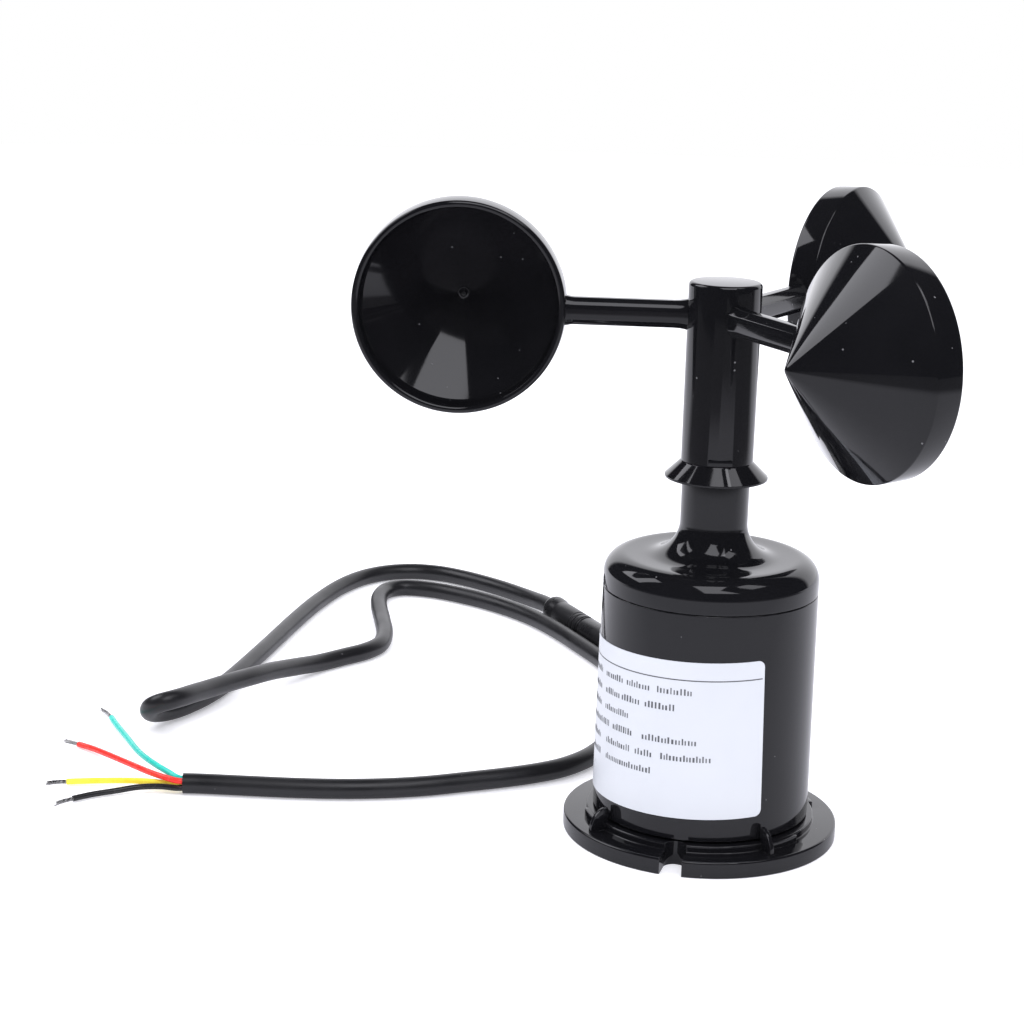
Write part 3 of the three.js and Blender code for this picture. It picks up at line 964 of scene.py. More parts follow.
@dataclass
class Slots:
    """The two mounting slots, open at the flange's edge and cut up through its collar."""

    width: float = 5.2
    inner_end: float = 25.0
    outer_end: float = 40.0
    low: float = -1.0
    high: float = 8.2

    def cutters(self) -> list[bpy.types.Object]:
        """A tool for each slot, with a round inner end.

        Returns:
            The two tools.
        """
        half = self.width / 2
        end = arc((0.0, self.inner_end + half), half, 0, -180, 18)
        side = [(half, self.outer_end), *end, (-half, self.outer_end)]
        tool = slab("slot tool", [(x, y, self.low) for x, y in side], (0, 0, self.high - self.low))
        return [tool, twin(tool, "slot tool", about_z(180))]


@dataclass
class BaseFlange:
    """The round foot: disc, stepped collar, spigot, four crescent fins, screw bosses."""

    radius: float = 32.5
    thickness: float = 4.0
    collar: float = 27.0
    collar_top: float = 5.7
    spigot: float = 22.6
    spigot_top: float = 9.5
    spigot_bore: float = 20.8
    seal_root: float = 21.6
    seal_span: Pair = (6.6, 8.4)
    fin_offset: float = 44.5
    fin_thickness: float = 1.1
    fin_in: float = 26.2
    fin_out: float = 30.8
    fin_top: float = 9.4
    fin_fullness: float = 0.9
    swelling_span: Pair = (25.5, 27.9)
    swelling_reach: float = 22.0
    swelling_top: float = 5.95
    boss: float = 4.0
    slots: Slots = field(default_factory=Slots)

    def body(self) -> bpy.types.Object:
        """The turned disc with its collar and its seal groove."""
        t, (groove_low, groove_high) = self.thickness, self.seal_span
        return turned("base_flange_moulding", eased([
            (0, 0, 0), (self.radius, 0, 0.45), (self.radius, t, 0.55), (self.collar, t, 0.3),
            (self.collar, self.collar_top, 0.35), (self.spigot, self.collar_top, 0.2),
            (self.spigot, groove_low, 0), (self.seal_root, groove_low, 0), (self.seal_root, groove_high, 0),
            (self.spigot, groove_high, 0), (self.spigot, self.spigot_top, 0.2),
            (self.spigot_bore, self.spigot_top, 0.2), (self.spigot_bore, t, 0.4), (0, t, 0),
        ]), 160)

    def fin(self, degrees: float) -> bpy.types.Object:
        """One crescent fin, from the flange up to the tube's foot.

        Args:
            degrees: its direction.

        Returns:
            The fin, sunk a little into the flange.
        """
        foot = self.thickness - 0.4
        wide, tall = self.fin_out - self.fin_in, self.fin_top - foot
        crest = [(self.fin_in + wide * math.cos(a), foot + tall * math.sin(a) ** self.fin_fullness)
                 for a in (math.radians(90 * i / 14) for i in range(15))]
        half = self.fin_thickness / 2
        outline = [(x, -half, z) for x, z in [(self.fin_in, foot), *crest]]
        piece = slab("fin", outline, (0, self.fin_thickness, 0))
        soften_edges(piece, 0.16)
        return place(piece, about_z(degrees))

    def swelling(self, degrees: float, side: int) -> bpy.types.Object:
        """The stretch beside a fin where the collar stands a little further out.

        Args:
            degrees: where it starts.
            side: 1 if it runs on anticlockwise, -1 if clockwise.

        Returns:
            The swelling, sunk a little into the flange.
        """
        angles = [degrees + side * self.swelling_reach * i / 16 for i in range(17)]
        near, far = self.swelling_span
        foot = self.thickness - 0.3
        outline = [direction(a) * far for a in angles] + [direction(a) * near for a in reversed(angles)]
        depth = (0, 0, self.swelling_top - self.thickness)
        piece = slab("swelling", [(p.x, p.y, foot) for p in outline], depth)
        soften_edges(piece, 0.25)
        return piece

    def build(self, paint: Paint) -> None:
        """Models the foot and hands it over.

        Args:
            paint: the finishes.
        """
        piece = self.body()
        extras = []
        for slot in (90.0, -90.0):
            for side in (-1, 1):
                extras.append(self.fin(slot + side * self.fin_offset))
                extras.append(self.swelling(slot + side * (self.fin_offset - 0.4), side))
        extras += SCREWS.set_at_each(turned("boss", eased([
            (0, 2, 0), (self.boss, 2, 0), (self.boss, self.spigot_top, 0.3), (0, self.spigot_top, 0)]), 40))
        combine(piece, extras, Join.ADD)
        holes = SCREWS.set_at_each(turned("hole", [
            (0, -1), (SCREWS.head_hole, -1), (SCREWS.head_hole, SCREWS.head_depth),
            (SCREWS.thread_hole, SCREWS.head_depth), (SCREWS.thread_hole, 12), (0, 12)], 40))
        combine(piece, [*self.slots.cutters(), *holes], Join.CUT)
        smooth(piece)
        paint.hand_over(piece, GLOSS_ABS, Body.HOUSING, "base_flange")


@dataclass
class HousingTube:
    """The round housing wall, its inner screw pillars and the cable's hole."""

    low: float = 6.2
    high: float = 60.0
    radius_low: float = 25.6
    radius_high: float = 25.2
    bore: float = 23.0
    pillar_low: Point = (15.3, -3.5, 10)
    pillar_high: Point = (23.7, 3.5, 44)

    def build(self, paint: Paint) -> None:
        """Models the tube and hands it over.

        Args:
            paint: the finishes.
        """
        piece = turned("housing_tube_wall", eased([
            (self.bore, self.low, 0.2), (self.radius_low, self.low, 0.35),
            (self.radius_high, self.high, 0.22), (self.bore, self.high, 0.2),
        ], around=True), 180, around=True)
        pillars = [place(block("pillar", self.pillar_low, self.pillar_high, 0.6), about_z(turn))
                   for turn in SCREWS.turns]
        combine(piece, pillars, Join.ADD)
        bores = SCREWS.set_at_each(turned("bore", [
            (0, 5), (SCREWS.thread_hole, 5), (SCREWS.thread_hole, 24), (0, 24)], 32))
        outlet = turned("outlet", [(0, 15), (OUTLET.hole, 15), (OUTLET.hole, 30), (0, 30)], 48)
        place(outlet, along_level(OUTLET.turn, (0, 0, OUTLET.height)))
        combine(piece, [*bores, outlet], Join.CUT)
        smooth(piece)
        paint.hand_over(piece, GLOSS_ABS, Body.HOUSING, "housing_tube")


@dataclass
class TopCap:
    """The cap: rounded shoulder, dished crown, flared neck, bearing seats and board posts inside."""

    radius: float = 25.2
    low: float = 60.16
    wall_top: float = 62.0
    spigot: float = 22.7
    crown: float = 68.0
    shoulder: float = 5.0
    dish: tuple[Pair, ...] = ((19.4, 0.02), (18.0, 0.07), (16.8, 0.1))
    flare: float = 8.0
    neck: float = 7.87
    neck_top: float = 87.6
    bearing_seat: float = 5.6
    shaft_bore: float = 4.5
    post_turns: tuple[float, ...] = (30, 150, 270)
    post_ring: float = 15.0
    post: Pair = (1.35, 2.6)
    post_span: Pair = (54.0, 66.0)

    def profile(self) -> list[Pair]:
        """The cap's section, outside first and then back down the inside.

        Returns:
            The section's points.
        """
        lip = eased([(self.spigot, self.low, 0.0), (self.radius, self.low, 0.18),
                     (self.radius, self.wall_top, 0.0)])
        edge = (self.radius - self.shoulder, self.crown - self.shoulder)
        foot = (self.neck + self.flare, self.crown - self.dish[-1][1] + self.flare)
        seat, bore, spigot = self.bearing_seat, self.shaft_bore, self.spigot
        inside = eased([(self.neck, 80.0, 0), (self.neck, self.neck_top, 0.35), (seat, self.neck_top, 0.2),
                        (seat, 83.2, 0), (bore, 83.2, 0), (bore, 70.2, 0), (seat, 70.2, 0), (seat, 65.2, 0.2),
                        (18.5, 65.2, 1.0), (20.6, 62.5, 0.6), (20.6, 56, 0.2), (spigot, 56, 0.2),
                        (spigot, 57.2, 0), (21.7, 57.2, 0), (21.7, 59, 0), (spigot, 59, 0)])
        dish = [(r, self.crown - deep) for r, deep in self.dish]
        return [*lip, *arc(edge, self.shoulder, 0, 90, 16), *dish, *arc(foot, self.flare, 270, 180, 20),
                *inside]

    def build(self, paint: Paint) -> None:
        """Models the cap and hands it over.

        Args:
            paint: the finishes.
        """
        piece = turned("top_cap_moulding", self.profile(), 180, around=True)
        (bore, wall), (low, high) = self.post, self.post_span
        section = eased([(bore, low, 0.1), (wall, low, 0.2), (wall, high, 0), (bore, high, 0)], around=True)
        posts = [place(turned("post", section, 32, around=True), about_z(0, direction(turn) * self.post_ring))
                 for turn in self.post_turns]
        combine(piece, posts, Join.ADD)
        smooth(piece)
        paint.hand_over(piece, GLOSS_ABS, Body.HOUSING, "top_cap")


@dataclass
class NameLabel:
    """The printed film on the tube: a rounded sheet with a thin rule and plain marks in place of words.

    The film and its print are drawn flat, about the tube's middle line, and then wrapped round the tube.
    """

    start: float = -180.5
    end: float = -45.5
    low: float = 11.3
    high: float = 48.7
    corner: float = 1.6
    thickness: float = 0.14
    stand_off: float = 0.05
    lean: float = 1.5
    bend_lines: int = 44
    bend_gap: float = 0.75
    rule_drop: float = 4.3
    rule_width: float = 0.26
    rule_margins: Pair = (0.6, 0.4)
    words: tuple[tuple[Pair, ...], ...] = (
        ((-22.5, -15.0), (-12.7, -5.4), (-4.0, 3.2), (4.8, 13.2)),
        ((-22.5, -15.0), (-12.7, -6.4), (-5.6, 0.6), (1.6, 9.1)),
        ((-22.5, -15.0), (-12.7, -3.0)),
        ((-22.5, -10.2), (-8.8, -1.9), (1.0, 14.6)),
        ((-22.5, -14.6), (-11.6, -2.4), (-0.9, 4.4), (6.0, 18.1)),
        ((-22.5, -14.6), (-11.6, 4.2)),
    )
    first_row: float = 29.5
    row_gap: float = 3.94
    mark_height: float = 1.5
    mark_heights: tuple[float, ...] = (0.7, 0.75, 1.0)
    mark_widths: Pair = (0.26, 0.5)
    mark_gaps: Pair = (0.34, 0.52)
    least_mark: float = 0.3
    ink_lift: float = 0.01
    ink_thickness: float = 0.02
    seed: int = 5

    def _marks(self, span: Pair, chance: random.Random) -> list[Pair]:
        """Splits a word's span into short marks.

        Args:
            span: the word's left and right end.
            chance: the source of the marks' widths and gaps.

        Returns:
            Each mark's left and right end.
        """
        marks: list[Pair] = []
        left = span[0]
        while left < span[1] - self.least_mark:
            right = min(left + chance.uniform(*self.mark_widths), span[1])
            marks.append((left, right))
            left = right + chance.uniform(*self.mark_gaps)
        return marks

    def _wrap(self, piece: bpy.types.Object, stand_off: float) -> None:
        """Tilts a flat piece by the label's lean, and bends it round the tube and on to its taper.

        Args:
            piece: the piece, drawn in XZ.
            stand_off: how far it stands off the tube's wall.
        """
        place(piece, Matrix.Rotation(math.radians(-self.lean), 4, "Y"))
        tube = HousingTube()
        radius = tube.radius_low + stand_off
        with editing(piece):
            for i in range(-self.bend_lines, self.bend_lines + 1):
                bpy.ops.mesh.select_all(action="SELECT")
                bpy.ops.mesh.bisect(plane_co=(i * self.bend_gap * MM, 0, 0), plane_no=(1, 0, 0))
        wide = [v.co.x for v in piece.data.vertices]
        apply_modifier(piece, "SIMPLE_DEFORM", deform_method="BEND", deform_axis="Z",
                       angle=(max(wide) - min(wide)) / (radius * MM))
        middle = (self.start + self.end) / 2
        place(piece, about_z(middle + 90) @ shift(0, -radius, 0))
        slope = (tube.radius_high - tube.radius_low) / (tube.high - tube.low)
        for vertex in piece.data.vertices:
            taper = (vertex.co.z / MM - tube.low) * slope
            flat = Vector((vertex.co.x, vertex.co.y, 0.0))
            vertex.co += flat.normalized() * taper * MM

    def _sheet(self, name: str, low: Pair, high: Pair, corner: float, lift: float,
               thickness: float) -> bpy.types.Object:
        """A flat rounded sheet in XZ, with its outer face towards -Y.

        Args:
            name: the sheet's name.
            low: its lowest left corner.
            high: its highest right corner.
            corner: the radius of its corners.
            lift: how far its inner face stands off the plane.
            thickness: its thickness.

        Returns:
            The sheet.
        """
        corners = [(low[0], low[1], corner), (high[0], low[1], corner), (high[0], high[1], corner),
                   (low[0], high[1], corner)]
        outline = [(x, -lift, z) for x, z in eased(corners, around=True, chord=18.0)]
        return slab(name, outline, (0, -thickness, 0))

    def _ink(self, name: str, low: Pair, high: Pair) -> bpy.types.Object:
        """One printed bar, square at its corners."""
        return self._sheet(name, low, high, 0.0, self.ink_lift, self.ink_thickness)

    def build(self, paint: Paint) -> None:
        """Models the film and its print, and hands both over.

        Args:
            paint: the finishes.
        """
        half = math.radians(self.end - self.start) / 2 * (HousingTube().radius_low + self.stand_off)
        film = self._sheet("name_label_film", (-half, self.low), (half, self.high), self.corner, 0.0,
                           self.thickness)
        self._wrap(film, self.stand_off)
        smooth(film)
        paint.hand_over(film, LABEL_FILM, Body.HOUSING, "name_label")

        rule, (left_margin, right_margin) = self.high - self.rule_drop, self.rule_margins
        bars = [self._ink("rule", (-half + left_margin, rule - self.rule_width / 2),
                          (half - right_margin, rule + self.rule_width / 2))]
        chance = random.Random(self.seed)
        for i, row in enumerate(self.words):
            z = self.low + self.first_row - i * self.row_gap
            for word in row:
                for left, right in self._marks(word, chance):
                    tall = chance.choice(self.mark_heights) * self.mark_height
                    bars.append(self._ink("mark", (left, z), (right, z + tall)))
        ink = joined(bars, "name_label_print")
        self._wrap(ink, self.stand_off + self.thickness)
        smooth(ink)
        paint.hand_over(ink, LABEL_INK, Body.HOUSING)


# ---------------------------------------------------------------- rotor

@dataclass
class RotorMoulding:
    """The one-piece rotor: sleeve with drip skirt, three arms, three conical cups."""

    count: int = 3
    arm_height: float = 124.0
    first_turn: float = 193.5
    hub: float = 8.4
    hub_low: float = 90.4
    hub_draft: float = 0.06
    hub_top: float = 132.0
    neck_room: float = 8.7
    insert: float = 3.8
    insert_span: Pair = (88.6, 104.4)
    shaft: float = 2.3
    shaft_top: float = 122.2
    skirt: float = 11.95
    skirt_low: float = 86.4
    arm_tall: float = 6.3
    arm_wide: float = 5.0
    arm_shift: float = -1.3
    arm_flat: float = 0.42
    arm_side: float = 0.52
    arm_stations: tuple[Pair, ...] = (
        (5.0, 1.16), (8.2, 1.13), (9.0, 1.07), (10.0, 1.02), (11.4, 1.0), (34.2, 1.0), (35.0, 1.02),
        (35.8, 1.07), (36.9, 1.1),
    )
    reach: float = 60.7
    rim_ahead: float = 2.0
    rim: float = 24.5
    crease: float = 24.9
    crease_depth: float = 6.7
    depth: float = 26.2
    lip: float = 1.6
    scar_turn: float = -74.0
    scar_half_width: float = 2.75
    scar_span: Pair = (90.75, 92.1)

    def sleeve(self) -> bpy.types.Object:
        """The turned hub and sleeve, hollow from below."""
        low, high = self.insert_span
        return turned("rotor_moulding", eased([
            (0, self.hub_top, 0), (self.hub, self.hub_top, 0.9),
            (self.hub - self.hub_draft, self.hub_low, 0.5),
            (self.skirt, self.skirt_low + 0.5, 0.12), (self.skirt, self.skirt_low, 0.12),
            (self.skirt - 0.6, self.skirt_low, 0.1), (self.neck_room, low, 0.4), (self.insert, low, 0.2),
            (self.insert, high, 0), (self.shaft, high, 0), (self.shaft, self.shaft_top, 0),
            (0, self.shaft_top, 0),
        ]), 128)

    def arm(self, degrees: float) -> bpy.types.Object:
        """One arm with a faceted section, flared where it meets the hub and the cup.

        Args:
            degrees: its direction.

        Returns:
            The arm, its root inside the hub.
        """
        w, h = self.arm_wide / 2, self.arm_tall / 2
        flat, side = w * self.arm_flat, h * self.arm_side
        section = eased([
            (-flat, -h, 0.5), (flat, -h, 0.5), (w, -side, 0.7), (w, side, 0.7),
            (flat, h, 0.5), (-flat, h, 0.5), (-w, side, 0.7), (-w, -side, 0.7),
        ], around=True, chord=22.0)
        start, grow = self.arm_stations[0]
        ring = [(start, y * grow, z * grow) for y, z in section]
        piece = one_point("arm", ring[0])
        draw_on([*ring, ring[0]])
        close_ring()
        bpy.ops.mesh.edge_face_add()
        for (x, size), (x_next, size_next) in zip(self.arm_stations, self.arm_stations[1:]):
            bpy.ops.mesh.extrude_region_move(TRANSFORM_OT_translate={"value": ((x_next - x) * MM, 0, 0)})
            share = size_next / size
            bpy.ops.transform.resize(value=(1, share, share), center_override=(x_next * MM, 0, 0))
        tidy_mesh()
        bpy.ops.object.mode_set(mode="OBJECT")
        return place(piece, about_z(degrees) @ shift(0, self.arm_shift, self.arm_height))

    def cup(self) -> bpy.types.Object:
        """One cup, turned about its own axis, with its mouth at height 0 and its apex above.

        Returns:
            The cup, with a small moulded pip in the middle of its inside.
        """
        lip = self.rim - self.lip
        wall = lip - 0.15
        return turned("cup", eased([
            (0, self.depth, 0), (0.9, self.depth - 0.45, 0.5),
            (self.crease, self.crease_depth, 0.6), (self.rim, 0, 0.8), (lip, 0, 0.8),
            (wall, self.crease_depth - 1.6, 0.35), (wall - 0.4, self.crease_depth - 0.8, 0.25),
            (1.3, 22.5, 0.3), (0.8, 22.35, 0.1), (0.6, 21.9, 0.12), (0, 21.9, 0),
        ]), 144)

    def build(self, paint: Paint) -> None:
        """Models the moulding and hands it over.

        Args:
            paint: the finishes.
        """
        piece = self.sleeve()
        cup = self.cup()
        parts = []
        for step in range(self.count):
            turn = self.first_turn + 360 / self.count * step
            parts.append(self.arm(turn))
            lay = about_z(turn) @ shift(self.reach, self.rim_ahead, self.arm_height)
            parts.append(twin(cup, "cup", lay @ Matrix.Rotation(math.pi / 2, 4, "X")))
        clear_away(cup)
        wide, (low, high) = self.scar_half_width, self.scar_span
        scar = block("mould scar", (self.hub - 1.0, -wide, low), (self.hub + 0.12, wide, high), 0.08, 2)
        parts.append(place(scar, about_z(self.scar_turn)))
        combine(piece, parts, Join.ADD)
        smooth(piece)
        numbers = range(1, self.count + 1)
        paint.hand_over(piece, ROTOR_ABS, Body.ROTOR, "rotor_hub", *(f"arm_{i}" for i in numbers),
                        *(f"cup_{i}" for i in numbers))


# ---------------------------------------------------------------- cable, connector and wires

@dataclass
class Grommet:
    """The soft outlet bush at the housing's back, ribbed and tapered."""

    bore: float = 2.75
    inner_end: float = 19.4

    def build(self, paint: Paint) -> None:
        """Models the bush and hands it over.

        Args:
            paint: the finishes.
        """
        piece = turned("cable_grommet_bush", eased([
            (self.bore, self.inner_end, 0.2), (5.8, self.inner_end, 0.4), (5.8, 21.4, 0.3), (4.0, 21.8, 0.1),
            (4.0, 25.9, 0.1),
            (6.2, 26.05, 0.2), (6.2, 27.6, 0.6), (5.0, 28.3, 0.2), (4.75, 29.6, 0.15), (4.2, 29.7, 0.1),
            (4.2, 30.5, 0.1), (4.6, 30.6, 0.15), (4.45, 31.9, 0.15), (3.95, 32.0, 0.1), (3.95, 32.8, 0.1),
            (4.3, 32.9, 0.15), (4.1, 34.2, 0.15), (3.7, 34.3, 0.1), (3.7, 35.0, 0.1), (3.95, 35.1, 0.15),
            (3.6, OUTLET.mouth, 0.3), (self.bore, OUTLET.mouth, 0.15),
        ], around=True), 64, around=True)
        place(piece, along_level(OUTLET.turn, (0, 0, OUTLET.height)))
        smooth(piece)
        paint.hand_over(piece, SILICONE, Body.HOUSING, "cable_grommet")


@dataclass
class InlineConnector:
    """The two halves of the connector, along one level line."""

    turn: float = -50.0
    start: Point = (-76.6, 152.9, 4.15)
    bore: float = 2.75
    dimples: int = 6
    dimple: float = 0.42
    dimple_ring: float = 4.02
    dimple_turn: float = 20.0
    plug_dimples: float = 2.5
    socket_dimples: float = 41.0

    def _finish(self, piece: bpy.types.Object, station: float, paint: Paint, node: str) -> bpy.types.Object:
        """Cuts the ring of grip dimples into a half, lays it on the line and hands it over.

        Args:
            piece: the half, made along +Z.
            station: where along it the dimples are.
            paint: the finishes.
            node: the frame's node that it replaces.

        Returns:
            The same half.
        """
        tools = []
        for i in range(self.dimples):
            bpy.ops.mesh.primitive_uv_sphere_add(segments=14, ring_count=8, radius=self.dimple * MM)
            at = direction(360 / self.dimples * i + self.dimple_turn) * self.dimple_ring
            tools.append(place(bpy.context.object, shift(at.x, at.y, station)))
        combine(piece, tools, Join.CUT)
        place(piece, along_level(self.turn, self.start))
        smooth(piece)
        return paint.hand_over(piece, LINK_PVC, Body.HOUSING, node)

    def plug(self, paint: Paint) -> bpy.types.Object:
        """The half on the main cable.

        Args:
            paint: the finishes.

        Returns:
            The half.
        """
        piece = turned("plug_half_moulding", eased([
            (0, 9.4, 0), (self.bore, 9.4, 0), (self.bore, 0, 0.2), (3.8, 0, 0.45), (4.08, 0.9, 0.3),
            (4.02, 3.2, 1.5), (3.62, 5.6, 2.0), (3.72, 8.6, 1.5), (3.72, 17.2, 0.15), (3.55, 17.35, 0.1),
            (3.55, 17.9, 0.1), (3.72, 18.05, 0.15), (3.72, 19.4, 0.3), (2.3, 19.4, 0.1), (2.3, 26, 0.3),
            (0, 26, 0),
        ]), 72)
        return self._finish(piece, self.plug_dimples, paint, "plug_half")

    def socket(self, paint: Paint) -> bpy.types.Object:
        """The half on the tail.

        Args:
            paint: the finishes.

        Returns:
            The half.
        """
        piece = turned("socket_half_moulding", eased([
            (0, 34.2, 0), (self.bore, 34.2, 0), (self.bore, 43.5, 0.2), (3.8, 43.5, 0.45), (4.08, 42.6, 0.3),
            (4.02, 40.4, 1.5), (3.62, 38.0, 2.0), (3.72, 35.0, 1.5), (3.72, 23.8, 0.15), (3.35, 23.6, 0.12),
            (3.35, 23.1, 0.12), (3.72, 22.95, 0.12), (3.72, 22.6, 0.12), (3.35, 22.45, 0.12),
            (3.35, 21.95, 0.12), (3.72, 21.8, 0.15), (3.72, 19.8, 0.3), (2.65, 19.8, 0.1), (2.65, 27.6, 0),
            (0, 27.6, 0),
        ]), 72)
        return self._finish(piece, self.socket_dimples, paint, "socket_half")


@dataclass
class Cables:
    """The short tail behind the housing, the main cable on the floor, its wires and their bare tips."""

    radius: float = 2.5
    core: float = 0.75
    strand: float = 0.18
    strands: int = 7
    strand_ring: float = 0.35
    strand_twist: float = 5.0
    strand_fray: float = 0.35
    cable_step: float = 1.5
    wire_step: float = 0.7
    strand_step: float = 0.25
    tail_route: tuple[Point, ...] = (
        (-3.6, 13.5, 16), (-6.5, 24.1, 16), (-9.8, 36.7, 16), (-12, 45, 14.6), (-14.5, 53, 10.6),
        (-17, 61, 6.2), (-19.8, 69, 3.4), (-22.7, 77, 2.7), (-26.4, 85.5, 2.6), (-30.8, 94, 2.7),
        (-35.7, 102.2, 3.1), (-41.6, 111, 3.8), (-48.6, 119.6, 4.15), (-53.7, 125.6, 4.15),
    )
    main_route: tuple[Point, ...] = (
        (-71.5, 146.8, 4.15), (-76.6, 152.9, 4.15), (-80.8, 158, 3.8), (-86, 163.6, 3.1),
        (-92.2, 168.9, 2.7), (-99.7, 174, 2.6), (-107.3, 178, 2.6), (-114.8, 181.2, 2.6),
        (-123, 183.2, 2.6), (-131, 182.5, 2.6), (-138, 178.5, 2.6), (-143.5, 171, 2.6),
        (-147, 158.5, 2.6), (-148.2, 139, 2.6), (-147.5, 116.5, 2.6), (-146, 93, 2.6), (-145, 76, 2.6),
        (-144.3, 61, 2.6), (-144.2, 49.5, 2.6), (-145, 41, 2.6), (-146.2, 35, 2.6), (-147.6, 29.5, 2.7),
        (-149.2, 25, 3), (-150.4, 20.5, 4), (-150, 16.2, 6), (-148, 13.2, 8.4), (-145.2, 12.3, 10),
        (-142.8, 13.8, 10.6), (-141.2, 17.5, 10.5), (-140.3, 22.5, 10), (-139.2, 29, 9.2),
        (-137.8, 35.5, 8.6), (-136.2, 42, 8), (-134.4, 49, 7.3), (-132.4, 59, 6), (-129.6, 71, 4),
        (-126.2, 80.5, 2.7),
        (-121.8, 88.5, 2.6), (-117.8, 95.5, 2.6), (-116, 103, 2.6), (-118, 113.5, 2.6), (-123.5, 127.5, 2.6),
        (-129.3, 141.5, 2.6), (-132.3, 151.5, 2.6), (-132.2, 158.5, 2.6), (-129.2, 162.6, 2.6),
        (-124.8, 164, 2.6), (-117, 163.7, 2.6), (-108, 161.2, 2.6), (-99, 157.5, 2.6), (-90, 152.4, 2.6),
        (-80.5, 145.3, 2.6), (-70.7, 135.5, 2.6), (-60.5, 123.5, 2.6), (-54, 115.6, 2.6), (-47, 106.4, 2.6),
        (-40.3, 96, 2.6), (-34.8, 83.5, 2.6), (-32, 68, 2.6), (-32.3, 51, 2.6), (-34, 36, 2.6),
        (-36, 28.5, 2.6), (-39.8, 21, 2.6), (-45.2, 14.8, 2.6), (-52.5, 8.5, 2.6), (-60, 2.8, 2.6),
        (-67.5, -2.7, 2.6), (-75.5, -7.3, 2.6), (-86, -11.8, 2.6), (-97.5, -15.3, 2.6), (-109, -18, 2.6),
        (-120.5, -20.6, 2.6), (-124.2, -21.7, 2.6),
    )
    wire_routes: dict[str, tuple[Point, ...]] = field(default_factory=lambda: {
        "teal": ((-123.2, -20.6, 3.3), (-125.6, -21.2, 3.6), (-129, -19.6, 4.1), (-132.7, -17, 4.2),
                 (-137, -13, 3.9), (-143, -6, 3), (-151.5, 5.5, 2), (-160, 16.8, 1.2), (-163, 21, 1)),
        "red": ((-123.0, -22.2, 3.3), (-125.3, -23.1, 3.6), (-129.5, -22.2, 3.8), (-133.8, -20, 3.6),
                (-142.5, -14, 2.9), (-153, -6.5, 1.9), (-157.5, -3.2, 1.3), (-162, -1, 1)),
        "yellow": ((-123.4, -20.7, 1.8), (-125.9, -21.3, 1.7), (-130.5, -21.6, 1.9), (-135.5, -22, 1.8),
                   (-144.5, -23.6, 1.3), (-153, -26.6, 1)),
        "black": ((-122.9, -22.3, 1.8), (-125.3, -23.2, 1.7), (-129, -23.7, 1.8), (-134.3, -25.2, 1.5),
                  (-139, -28.5, 1.1), (-143.5, -32.6, 1), (-146.5, -36.6, 1)),
    })
    tip_routes: dict[str, tuple[Point, ...]] = field(default_factory=lambda: {
        "teal": ((-162.4, 20.2, 1), (-165.9, 24.1, 1), (-168.4, 26.2, 1)),
        "red": ((-161.2, -1.3, 1), (-164.2, -0.4, 1), (-166.4, -0.2, 1.1)),
        "yellow": ((-152.2, -26.3, 1), (-155.4, -28, 1), (-157.2, -29.4, 1)),
        "black": ((-145.9, -35.8, 1), (-148, -39, 1), (-149.2, -41.2, 0.9)),
    })
    wire_finishes: dict[str, Finish] = field(default_factory=lambda: {
        "teal": TEAL, "red": RED, "yellow": YELLOW, "black": BLACK_CORE})

    def _sleeve_end(self, piece: bpy.types.Object, line: Sequence[Point], wall: float, depth: float) -> None:
        """Hollows a tube's last end face, so that its wall shows round what comes out of it.

        Args:
            piece: the tube.
            line: the points that it follows.
            wall: the thickness of its wall.
            depth: how deep the hollow is.
        """
        end, before = Vector(line[-1]), Vector(line[-2])
        inward = (before - end).normalized() * depth
        with editing(piece):
            pick_faces(piece, lambda middle: (middle - end).length < 0.05)
            bpy.ops.mesh.inset(thickness=wall * MM, use_even_offset=True)
            bpy.ops.mesh.extrude_region_move(TRANSFORM_OT_translate={"value": inward * MM})

    def tail(self, paint: Paint) -> None:
        """The tail from the housing's bush to the connector.

        Args:
            paint: the finishes.
        """
        line = smooth_route(self.tail_route, self.cable_step)
        piece = drawn_tube("tail_cable_jacket", line, self.radius, 28)
        smooth(piece)
        paint.hand_over(piece, SATIN_PVC, Body.HOUSING, "tail_cable")

    def main(self, paint: Paint, plug: bpy.types.Object, start: Point) -> None:
        """The main cable from the connector to its stripped end.

        Args:
            paint: the finishes.
            plug: not used.
            start: not used.
        """
        line = smooth_route(self.main_route, self.cable_step)
        piece = drawn_tube("main_cable_jacket", line, self.radius, 28)
        self._sleeve_end(piece, line, 0.55, 1.6)
        smooth(piece)
        paint.hand_over(piece, SATIN_PVC, Body.HOUSING, "main_cable")
        ends = [part for colour in self.wire_routes for part in self.wire(paint, colour)]
        log.info("main cable %.0f mm long", length_of(line))

    def wire(self, paint: Paint, colour: str) -> list[bpy.types.Object]:
        """One insulated wire and its twisted bare tip.

        Args:
            paint: the finishes.
            colour: which wire.

        Returns:
            The wire and the tip.
        """
        line = smooth_route(self.wire_routes[colour], self.wire_step)
        piece = drawn_tube(f"wire_{colour}_insulation", line, self.core, 18)
        self._sleeve_end(piece, line, 0.2, 0.5)
        smooth(piece)
        wire = paint.hand_over(piece, self.wire_finishes[colour], Body.HOUSING, f"wire_{colour}")
        tip = self.tip(colour)
        smooth(tip)
        return [wire, paint.hand_over(tip, TINNED, Body.HOUSING, f"wire_tip_{colour}")]

